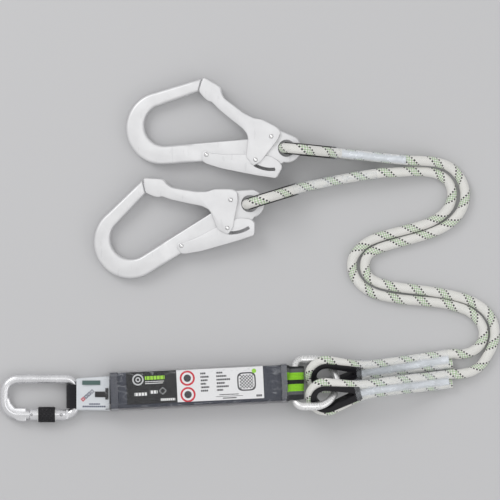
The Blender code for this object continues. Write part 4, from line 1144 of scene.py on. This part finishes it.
class Print:
    """Flat marks on a card, placed in millimetres on the pack."""

    def __init__(self, name, slot, paper):
        self.finish = Finish(name, slot, paper, 0.5, Specular_IOR_Level=0.25, Coat_Weight=0.05)
        self.x, self.y = [value * 1000.0 for value in self.finish.measured()]
        fibre = self.finish.noise(500.0, 4.0)
        self.colour = self.finish.mix(fibre * 0.18, paper, tuple(c * 0.75 for c in paper))

    def stamp(self, ink, *masks):
        for mask in masks:
            self.colour = self.finish.mix(mask, self.colour, ink)

    def bar(self, x_low, x_high, y_low, y_high):
        return self.x.between(x_low, x_high) * self.y.between(y_low, y_high)

    def distance(self, x, y):
        dx, dy = self.x - x, self.y - y
        return (dx * dx + dy * dy).root()

    def ring(self, x, y, radius, width):
        return abs(self.distance(x, y) - radius) < width / 2

    def diamond(self, x, y):
        return abs(self.x - x) + abs(self.y - y)

    def frame(self, x, y, half, width):
        """A square outline with round corners and the middle left open."""
        across, up = (self.x - x) / half, (self.y - y) / half
        reach = across * across * across * across + up * up * up * up
        return reach.between((1.0 - width / half) ** 4, 1.0)

    def words(self, x_low, x_high, y, tall, size=1.9):
        """A row of plain blocks, such as a line of writing is from far away."""
        blocks = (self.x / size + y * 0.37).fraction() < 0.84
        return self.bar(x_low, x_high, y - tall / 2, y + tall / 2) * blocks

    def done(self):
        self.finish.feed(Base_Color=self.colour)
        return self.finish


def dark_print():
    card = Print("dark_print", "black_card", (0.012, 0.012, 0.013))
    silver, green, white = (0.55, 0.56, 0.57), (0.33, 0.66, 0.05), (0.78, 0.78, 0.78)
    wide_blocks = (card.x * 0.26).fraction() < 0.8
    card.stamp(silver, card.ring(-76.8, 13.6, 6.2, 1.8), card.ring(-76.8, 13.6, 2.4, 1.5),
               card.diamond(-46.5, -1.6).between(3.9, 4.7))
    card.stamp(green, card.words(-68.0, -43.5, 15.2, 4.6, 4.2))
    card.stamp(white, card.words(-68.0, -44.5, 10.6, 1.0), card.bar(-68.0, -46.0, 7.9, 8.8),
               card.bar(-82.0, -66.5, -6.6, -2.6) * wide_blocks,
               card.bar(-62.5, -53.0, -4.6, -0.6) * wide_blocks, card.words(-49.5, -31.5, -12.6, 3.0, 2.6))
    return card.done()


def light_print():
    card = Print("light_print", "white_card", (0.80, 0.80, 0.81))
    grey, red, green = (0.045, 0.045, 0.050), (0.58, 0.02, 0.04), (0.30, 0.62, 0.05)
    for y in (12.6, -7.9):
        card.stamp(grey, card.distance(-15.2, y) < 4.6)
        card.stamp(red, card.ring(-15.2, y, 8.3, 2.3))
    for row in range(6):
        y = 17.6 - 4.32 * row
        card.stamp(grey, card.words(1.2, 8.0 + (row * 5 % 3) * 1.9, y, 2.3, 2.3),
                   card.words(21.0, 29.0 + (row * 7 % 5) * 2.3, y, 2.3, 2.3))
    checks = abs(((card.x / 4.0).fraction() < 0.5) - ((card.y / 4.0).fraction() < 0.5))
    card.stamp(grey, card.frame(58.5, 5.0, 11.6, 1.7), card.bar(50.0, 67.0, -3.5, 13.5) * checks)
    card.stamp(green, card.distance(68.4, 17.8) < 2.8)
    card.stamp(grey, card.bar(19.5, 53.0, -12.5, -11.9), card.words(24.0, 48.0, -10.0, 1.2, 1.6),
               card.words(28.0, 45.0, -14.4, 1.5, 1.6), card.words(70.0, 77.0, -13.2, 2.6, 2.5))
    return card.done()


# %% Cards
CARD_LOW, CARD_TALL = -16.8, 40.0
CARD_Z, CARD_THICKNESS = 28.55, 0.25


def card(name, x_low, x_high, finish, node):
    """A thin card on the webbing, its corners clipped by the film's edge."""

    def place(u, v):
        x, y = x_low + (x_high - x_low) * u, CARD_LOW + CARD_TALL * v
        return Vector((x, y, CARD_Z + 0.12 * math.sin(x * 0.11) * math.sin(y * 0.16)))

    piece = bent_grid(name, 40, 16, place, lambda u, v: place(u, v).xy * MM)
    apply_modifier(piece, "SOLIDIFY", thickness=CARD_THICKNESS * MM, offset=0.0)
    edit(piece, face_out)
    put_at(piece, PACK_PLACE)
    settle(piece, "pack", finish, node)


card("dark_card", -91.5, -28.9, dark_print(), "label_panel_dark")
card("light_card", -28.6, 79.6, light_print(), "label_panel_light")
print("two cards")

# %% [markdown]
# ## Film round the pack
# A tube of thick clear film is shrunk over the folded webbing. Its near side leans outwards, its ends are
# open, and on the karabiner's side it narrows to a collar round the label sleeve. Long shallow crinkles
# in its surface, and painted highlights along thin crinkle lines, give it its broken highlights.

# %% Pack film
FILM_WALL = 0.25
FILM_CORNER = 1.6
FILM_MIDDLE_Z = 15.0
FILM_PALE, FILM_EDGE_SHEEN, FILM_SHADE = (0.80, 0.82, 0.86), (0.66, 0.64, 0.67), (0.17, 0.17, 0.19)
FILM_FOLDED = (0.070, 0.076, 0.100)


def pack_film():
    """Thicker film: hardly any veil on top, more along both long edges where it stands on its side. Those
    edges are painted paler as a sheen, and the leaning near side carries a painted shade strip.
    """
    film, crease_highlights, veil = clear_film("pack_film_clear", FILM_PALE, 0.015, 0.09, 0.0004)
    x, y = film.measured()
    off_cards = (abs(y) > 0.0188).either(abs(x) > 0.090)
    # Painted sheen: both long side walls get a paler, less clear colour for the light they catch edge-on.
    rim = (y < -0.0236).either(y > 0.0240) * (0.20 + film.noise(40.0) * 0.30)
    # Painted shade: a dark strip along the near side, where it leans outwards.
    near_side_shade = y.between(-0.0236, -0.0208)
    folded = x.between(-0.1118, -0.1024).either(x > 0.1022)
    colour = film.mix(near_side_shade, film.mix(rim > 0.0, FILM_PALE, FILM_EDGE_SHEEN), FILM_SHADE)
    film.feed(Base_Color=film.mix(folded * (1.0 - near_side_shade), colour, FILM_FOLDED),
              Alpha=veil + crease_highlights * off_cards + rim + near_side_shade * 0.45 + folded * 0.62)
    return film


def film_section(x, wall):
    """Near edge low and high, far edge low and high, bottom and top of the film at a place along the pack."""
    share = ease((-111.5 - x) / 7.0)
    mid = loop_line(x) - pack_line(x)
    pack = (-25.0, -21.5, 25.0, 24.0, 0.0, 30.0)
    collar = (mid - 22.2, mid - 21.9, mid + 22.2, mid + 21.9, 3.0, 23.6)
    inwards = (1, 1, -1, -1, 1, -1)
    return [a * (1 - share) + b * share + wall * sign for a, b, sign in zip(pack, collar, inwards)]


def film_ring(x, wall):
    """Points once round the film, corners rounded, sides split so that they can crinkle."""
    near_low, near_top, far_low, far_top, low, high = film_section(x, wall)
    waist = low + (high - low) * 0.3
    corners = [(far_low, waist), (far_top, high), (near_top, high), (near_low, waist),
               (near_low + 1.2, low), (far_low - 1.2, low)]
    outline = []
    for back, here, ahead in neighbours([Vector(corner) for corner in corners]):
        first = here + (back - here).normalized() * FILM_CORNER
        last = here + (ahead - here).normalized() * FILM_CORNER
        stop = ahead + (here - ahead).normalized() * FILM_CORNER
        outline += curved_corner(first, here, last, 6) + [last.lerp(stop, i / 10) for i in range(1, 10)]
    return outline


def crinkled_ring(x, wall):
    """The film's section at x, pulled in by the shallow dents of its outer wall."""
    points = []
    for k, (y, z) in enumerate(film_ring(x, wall)):
        dent = 0.16 * math.sin(x * 0.23 + 0.5 * math.sin(k * 0.7)) * math.sin(k * 0.41 + x * 0.05)
        pull = 1.0 if wall else 1.0 - (0.005 + 0.005 * dent)
        points.append(Vector((x, y * pull, FILM_MIDDLE_Z + (z - FILM_MIDDLE_Z) * pull)))
    return points


stations = [-119.0 + 0.8 * i for i in range(10)] + [-111.0 + 220.5 * i / 120 for i in range(121)]
rings = [crinkled_ring(x, 0.0) for x in stations] + [crinkled_ring(x, FILM_WALL) for x in stations[::-1]]
film = wrapped("crinkled_pack_film", rings, measure=lambda spot: spot.xy * MM)
put_at(film, PACK_PLACE)
settle(film, "pack", pack_film(), "pack_film", angle=50.0)
print("film corners", len(film.data.vertices))

# %% [markdown]
# ## Label sleeve
# Both layers of the black loop run through a white sleeve of coated cloth, which carries a dark green tag
# and the black pull tab. Its surface is soft and slightly crumpled, most of all where it enters the film.

# %% Coated cloth
def coated_cloth():
    """White cloth whose top carries a few plain printed bars."""
    cloth = Print("coated_cloth", "white_cloth", (0.78, 0.80, 0.82))
    soft = cloth.finish.noise(45.0, 5.0)
    thread = cloth.finish.noise(1400.0)
    cloth.stamp((0.48, 0.52, 0.57), soft * 0.6 + thread * 0.2)
    for k, ink in enumerate([(0.52, 0.16, 0.18), (0.22, 0.23, 0.27), (0.22, 0.23, 0.27), (0.32, 0.33, 0.37)]):
        cloth.stamp(ink, cloth.diamond(-146.0 + 3.7 * k, -14.6 + 3.2 * k).between(0.9, 3.3))
    cloth.stamp((0.10, 0.11, 0.16), cloth.words(-138.6, -125.0, -20.6, 1.9, 2.2),
                cloth.words(-147.0, -117.5, -23.7, 2.1, 2.6))
    finish = cloth.done()
    finish.feed(Roughness=0.42 + soft * 0.25)
    finish.bump(soft * 0.8 + thread * 0.2, 0.0012, 0.7)
    return finish


def tag_cloth(name, slot, colour, rough):
    cloth = Finish(name, slot, colour, rough, Sheen_Weight=0.2)
    cloth.bump(cloth.noise(1300.0), 0.0002, 0.6)
    return cloth


# %% Sleeve, tag and tab
SLEEVE_LEFT = -149.4
SLEEVE_LENGTH = 36.2
SLEEVE_STATIONS = 44
CLOTH_THICKNESS = 0.7
FLAP_OUT, FLAP_UP = 4.9, 1.9
TOP_STARTS = 12.5
NO_PRINT = 1000.0
# Place along the sleeve, then its underside, middle Y and half width there.
SLEEVE_ROWS = [(-149.4, 0.3, -8.5, 20.0), (-142.0, 1.2, -8.2, 20.3), (-130.0, 3.2, -7.8, 20.8),
               (-113.2, 5.8, -7.4, 21.5)]


def sleeve_top(x):
    return 20.4 + (x - SLEEVE_LEFT) * 0.07


def sleeve_row(x):
    """Underside, middle Y and half width of the sleeve at a place along it."""
    for (a, *first), (b, *second) in zip(SLEEVE_ROWS, SLEEVE_ROWS[1:]):
        if x <= b:
            t = (x - a) / (b - a)
            return [p + (q - p) * t for p, q in zip(first, second)]
    return SLEEVE_ROWS[-1][1:]


def dense_section(half_x, half_y, corner, per_side):
    """A rectangle with round corners whose sides are split too."""
    corners = rounded_section(half_x, half_y, corner, 4)
    points = []
    for a, b in zip(corners, corners[1:] + corners[:1]):
        steps = per_side if math.hypot(b[0] - a[0], b[1] - a[1]) > 3.0 else 1
        points += [(a[0] + (b[0] - a[0]) * i / steps, a[1] + (b[1] - a[1]) * i / steps) for i in range(steps)]
    return points


def flap(x, z):
    """How far the sleeve's top reaches over the karabiner's bar at a point, as a share."""
    return ease((z - 15.6) / 3.6) * ease((SLEEVE_LEFT + 9.0 - x) / 9.0)


def sleeve_ring(x, less):
    """The sleeve's section at x, crumpled on its outer wall and drawn out over the bar."""
    low, middle_y, half_width = sleeve_row(x)
    high = sleeve_top(x)
    crush = 0.0 if less else 0.10 + 0.45 * ease((x + 128.0) / 14.0)
    points = []
    for k, (y, z) in enumerate(dense_section(half_width - less, (high - low) / 2 - less, 3.0 - less, 24)):
        wave = crush * (math.sin(x * 0.9 + k * 0.8) * math.sin(k * 0.37 + 1.0) - 1.0) * 0.5
        size = 1.0 + wave / 21.0
        y, z = middle_y + y * size, (low + high) / 2 + z * size
        reach = flap(x, z)
        points.append(Vector((x - FLAP_OUT * reach, y, z + FLAP_UP * reach)))
    return points


def sleeve_print(spot):
    """Places on the sleeve's top, and places far from the print on its other sides."""
    return spot.x * MM, (spot.y if spot.z > TOP_STARTS else spot.y - NO_PRINT) * MM


def patch(name, outline, finish, node):
    """A thin cloth piece that lies on the sleeve's sloping top."""
    piece = plate(name, outline, 0.3, 0.9, 0.15, 2)
    for vertex in piece.data.vertices:
        x = vertex.co.x / MM
        vertex.co.z += (sleeve_top(x) + FLAP_UP * flap(x, 20.0)) * MM
    settle(piece, "pack", finish, node)


stations = [SLEEVE_LEFT + SLEEVE_LENGTH * i / SLEEVE_STATIONS for i in range(SLEEVE_STATIONS + 1)]
rings = [sleeve_ring(x, 0.0) for x in stations] + [sleeve_ring(x, CLOTH_THICKNESS) for x in stations[::-1]]
sleeve = wrapped("cloth_label_sleeve", rings, measure=sleeve_print)
settle(sleeve, "pack", coated_cloth(), "label_sleeve", angle=50.0)
patch("woven_tag", rectangle(-147.0, 3.4, -124.6, 8.8),
      tag_cloth("green_tag_cloth", "green_tag", (0.070, 0.125, 0.115), 0.6), "sleeve_tag")
patch("pull_tab", [(-131.2, -11.9), (-118.3, -11.9), (-118.3, -14.9), (-114.4, -14.9), (-114.4, -0.6),
                   (-118.3, -0.6), (-118.3, -5.0), (-131.2, -5.0)],
      tag_cloth("black_tab_cloth", "black_card", (0.014, 0.014, 0.017), 0.55), "sleeve_tab")
print("sleeve, tag and tab")

# %% [markdown]
# ## Scaffold hooks
# Each hook is forged from light alloy: an eye for the rope, a flat spine and a thick round bend. A gate with
# two cheeks closes the mouth, and a lock lever along the spine must be squeezed before the gate opens. All
# parts are made once, flat, with the eye at the origin, then copied to both hooks.

# %% Hook outlines
GATE_PIVOT = (-17.6, 16.4)
LOCK_PIN = (-39.7, -11.1)
LEVER_PIVOT = (-100.6, 0.3)


def soften(outline, reach, steps=5):
    """Rounds every corner of an outline, starting at most a reach away from it."""
    made = []
    for before, here, after in neighbours([Vector(corner) for corner in outline]):
        back, ahead = before - here, after - here
        first = here + back.normalized() * min(reach, back.length * 0.45)
        last = here + ahead.normalized() * min(reach, ahead.length * 0.45)
        made += curved_corner(first, here, last, steps)
    return made


SPINE = (arc((0.0, 0.0), 18.0, -106.0, 44.0, 36) + arc(GATE_PIVOT, 12.0, 40.0, 170.0, 20)
         + [(-46.0, 15.4), (-118.0, 15.25), (-118.0, -7.45), (-60.0, -7.6)]
         + arc(GATE_PIVOT, 36.5, 221.0, 288.0, 20))
BEND = ([(-112.0, 15.3)] + arc((-149.5, 41.5), 26.3, 270.0, 114.0, 40) + [(-103.5, 80.3), (-98.3, 95.7)]
        + arc((-153.0, 38.0), 45.4, 96.3, 270.0, 48) + [(-112.0, -7.5)])
TONGUE = [(-106.0, 82.0), (-91.0, 84.5), (-86.0, 87.5), (-87.5, 91.0), (-104.0, 93.0)]
GATE = [(-96.4, 97.1), (-79.0, 85.1), (-75.9, 82.0), (-75.7, 76.0), (-72.6, 68.4), (-61.0, 58.0),
        (-49.4, 47.8), (-38.0, 40.8), (-28.0, 38.5), (-10.2, 27.5), (-5.1, 21.0), (-10.0, 11.0),
        (-25.0, -4.5), (-33.0, -14.0), *arc(LOCK_PIN, 7.5, 250.0, 190.0, 4), (-50.5, -8.2), (-50.5, -3.6),
        (-46.9, 15.4), (-47.6, 21.4), (-52.0, 28.7), (-66.4, 42.1), (-80.5, 55.8), (-88.7, 66.0),
        (-92.7, 66.8), (-97.6, 71.5), (-103.5, 80.3)]
GATE_CHANNEL = [(-110.0, 110.0), (10.0, 60.0), (10.0, -40.0), (-60.0, -40.0), (-60.0, 34.0), (-58.0, 37.4),
                (-65.0, 43.6), (-79.1, 57.2), (-87.0, 67.0), (-90.0, 71.0), (-120.0, 72.0)]
LEVER = [(-95.8, 1.8), (-100.6, 6.0), (-106.6, 2.5), (-106.2, -7.6), (-101.5, -10.9), (-83.5, -18.2),
         (-53.0, -27.0), (-34.0, -32.2), (-16.0, -36.4), (-7.6, -23.7), (-8.0, -20.0), (-10.0, -16.0),
         (-19.0, -9.0), (-26.0, -6.6), (-51.7, -3.1), (-75.5, -1.7)]
LEVER_CHANNEL = [(-120.0, 20.0), (-120.0, -7.9), (-104.5, -7.9), (-101.0, -9.0), (-83.2, -16.2),
                 (-52.6, -25.0), (-33.6, -30.2), (-17.0, -34.0), (0.0, -38.0), (0.0, 20.0)]
SLOT = arc(GATE_PIVOT, 39.2, 232.5, 272.0, 18) + arc(GATE_PIVOT, 43.4, 272.0, 234.5, 18)
print("outlines", len(SPINE), len(BEND), len(GATE), len(LEVER))

# %% Forged and pressed parts
OVER = 12.0
RIVET_HOLE = 2.7
EYE_HOLE = 10.75
BEND_HALF, BEND_ROUNDING = 7.0, 3.2
TAPER_CUTS, TAPER_LEFT, TAPER_PITCH = 8, -114.0, 2.0
TAPER_TOP, TAPER_SHARE = 20.0, 0.28


def bore(piece, *centres):
    for centre in centres:
        cut(piece, disc(centre, RIVET_HOLE, 32), -OVER, OVER)


def hook_body():
    """The spine and the thick bend, which thins smoothly to the spine's own thickness."""
    body = plate("forged_body", SPINE, -5.0, 5.0, 1.6, 4)
    bend = plate("joiner", BEND, -BEND_HALF, BEND_HALF, BEND_ROUNDING, 5)
    for step in range(TAPER_CUTS):
        spot = Vector((TAPER_LEFT - TAPER_PITCH * step, 0.0, 0.0)) * MM
        edit(bend, lambda: bpy.ops.mesh.bisect(plane_co=spot, plane_no=(1.0, 0.0, 0.0)))
    for vertex in bend.data.vertices:
        x, y, _ = vertex.co / MM
        if y < TAPER_TOP:
            vertex.co.z *= 1.0 - TAPER_SHARE * ease((x + 128.0) / 16.0)
    shape_with(body, bend, "UNION")
    join(body, TONGUE, 4.9, 0.8)
    cut(body, disc((0.0, 0.0), EYE_HOLE, 64), -OVER, OVER)
    bore(body, GATE_PIVOT, LEVER_PIVOT)
    cut(body, arc(GATE_PIVOT, 8.0, 225.0, 405.0, 24) + [(-29.0, 38.0), (-42.0, 24.0)], -3.4, 3.4)
    cut(body, arc(LEVER_PIVOT, 6.6, 0.0, 180.0, 24) + [(-107.2, -12.0), (-94.0, -12.0)], -3.0, 3.0)
    return body


def pressed(name, outline, half, rounding, channel, channel_half, *holes):
    """A sheet folded into two cheeks: a plate with a channel cut through its middle."""
    piece = plate(name, soften(outline, 3.0), -half, half, rounding)
    cut(piece, soften(channel, 2.0), -channel_half, channel_half)
    bore(piece, *holes)
    return piece


def rivet(name, centre, low, high):
    """A rivet with domed heads."""
    return plate(name, disc(centre, 2.5, 32), low, high, 1.3, 5)


pressed_gate = pressed("pressed_gate", GATE, 9.3, 0.9, GATE_CHANNEL, 7.3, GATE_PIVOT, LOCK_PIN)
pressed_lever = pressed("pressed_lever", LEVER, 6.8, 0.7, LEVER_CHANNEL, 5.3, LEVER_PIVOT)
cut(pressed_lever, soften(SLOT, 1.0, 2), -OVER, OVER)
# Name, flat pattern, the end of its body's name and its finish.
HOOK_PARTS = [("body", hook_body(), "", HOOK_ALLOY),
              ("gate", pressed_gate, "_gate", HOOK_ALLOY),
              ("lock_lever", pressed_lever, "_lever", HOOK_ALLOY),
              ("gate_pivot", rivet("gate_pivot", GATE_PIVOT, -10.4, 10.4), "", PIN_STEEL),
              ("lever_pivot", rivet("lever_pivot", LEVER_PIVOT, -8.0, 8.0), "", PIN_STEEL),
              ("lock_rivet_top", rivet("lock_rivet_top", LOCK_PIN, 7.3, 10.4), "_gate", PIN_STEEL),
              ("lock_rivet_bottom", rivet("lock_rivet_bottom", LOCK_PIN, -10.4, -7.3), "_gate", PIN_STEEL)]
print("hook parts", [len(part[1].data.vertices) for part in HOOK_PARTS])

# %% Place both hooks
HOOK_Z = 21.5
HOOK_LEAN = Matrix.Rotation(math.radians(-4.0), 4, "Y")
for hook_name, (x, y, heading) in HOOKS.items():
    turned_place = Matrix.Rotation(math.radians(heading), 4, "Z") @ HOOK_LEAN
    hook_place = Matrix.Translation(Vector((x, y, HOOK_Z)) * MM) @ turned_place
    for part_name, pattern, body, finish in HOOK_PARTS:
        piece = copy_of(pattern, f"{hook_name}_{part_name}_finished")
        put_at(piece, hook_place)
        settle(piece, hook_name + body, finish, f"{hook_name}_{part_name}", angle=30.0)
    for spring in ("gate_spring", "lever_spring"):
        SPRING_STEEL.cover(NODES[f"{hook_name}_{spring}"])
for _, pattern, _, _ in HOOK_PARTS:
    bpy.data.objects.remove(pattern, do_unlink=True)
print("two hooks placed")
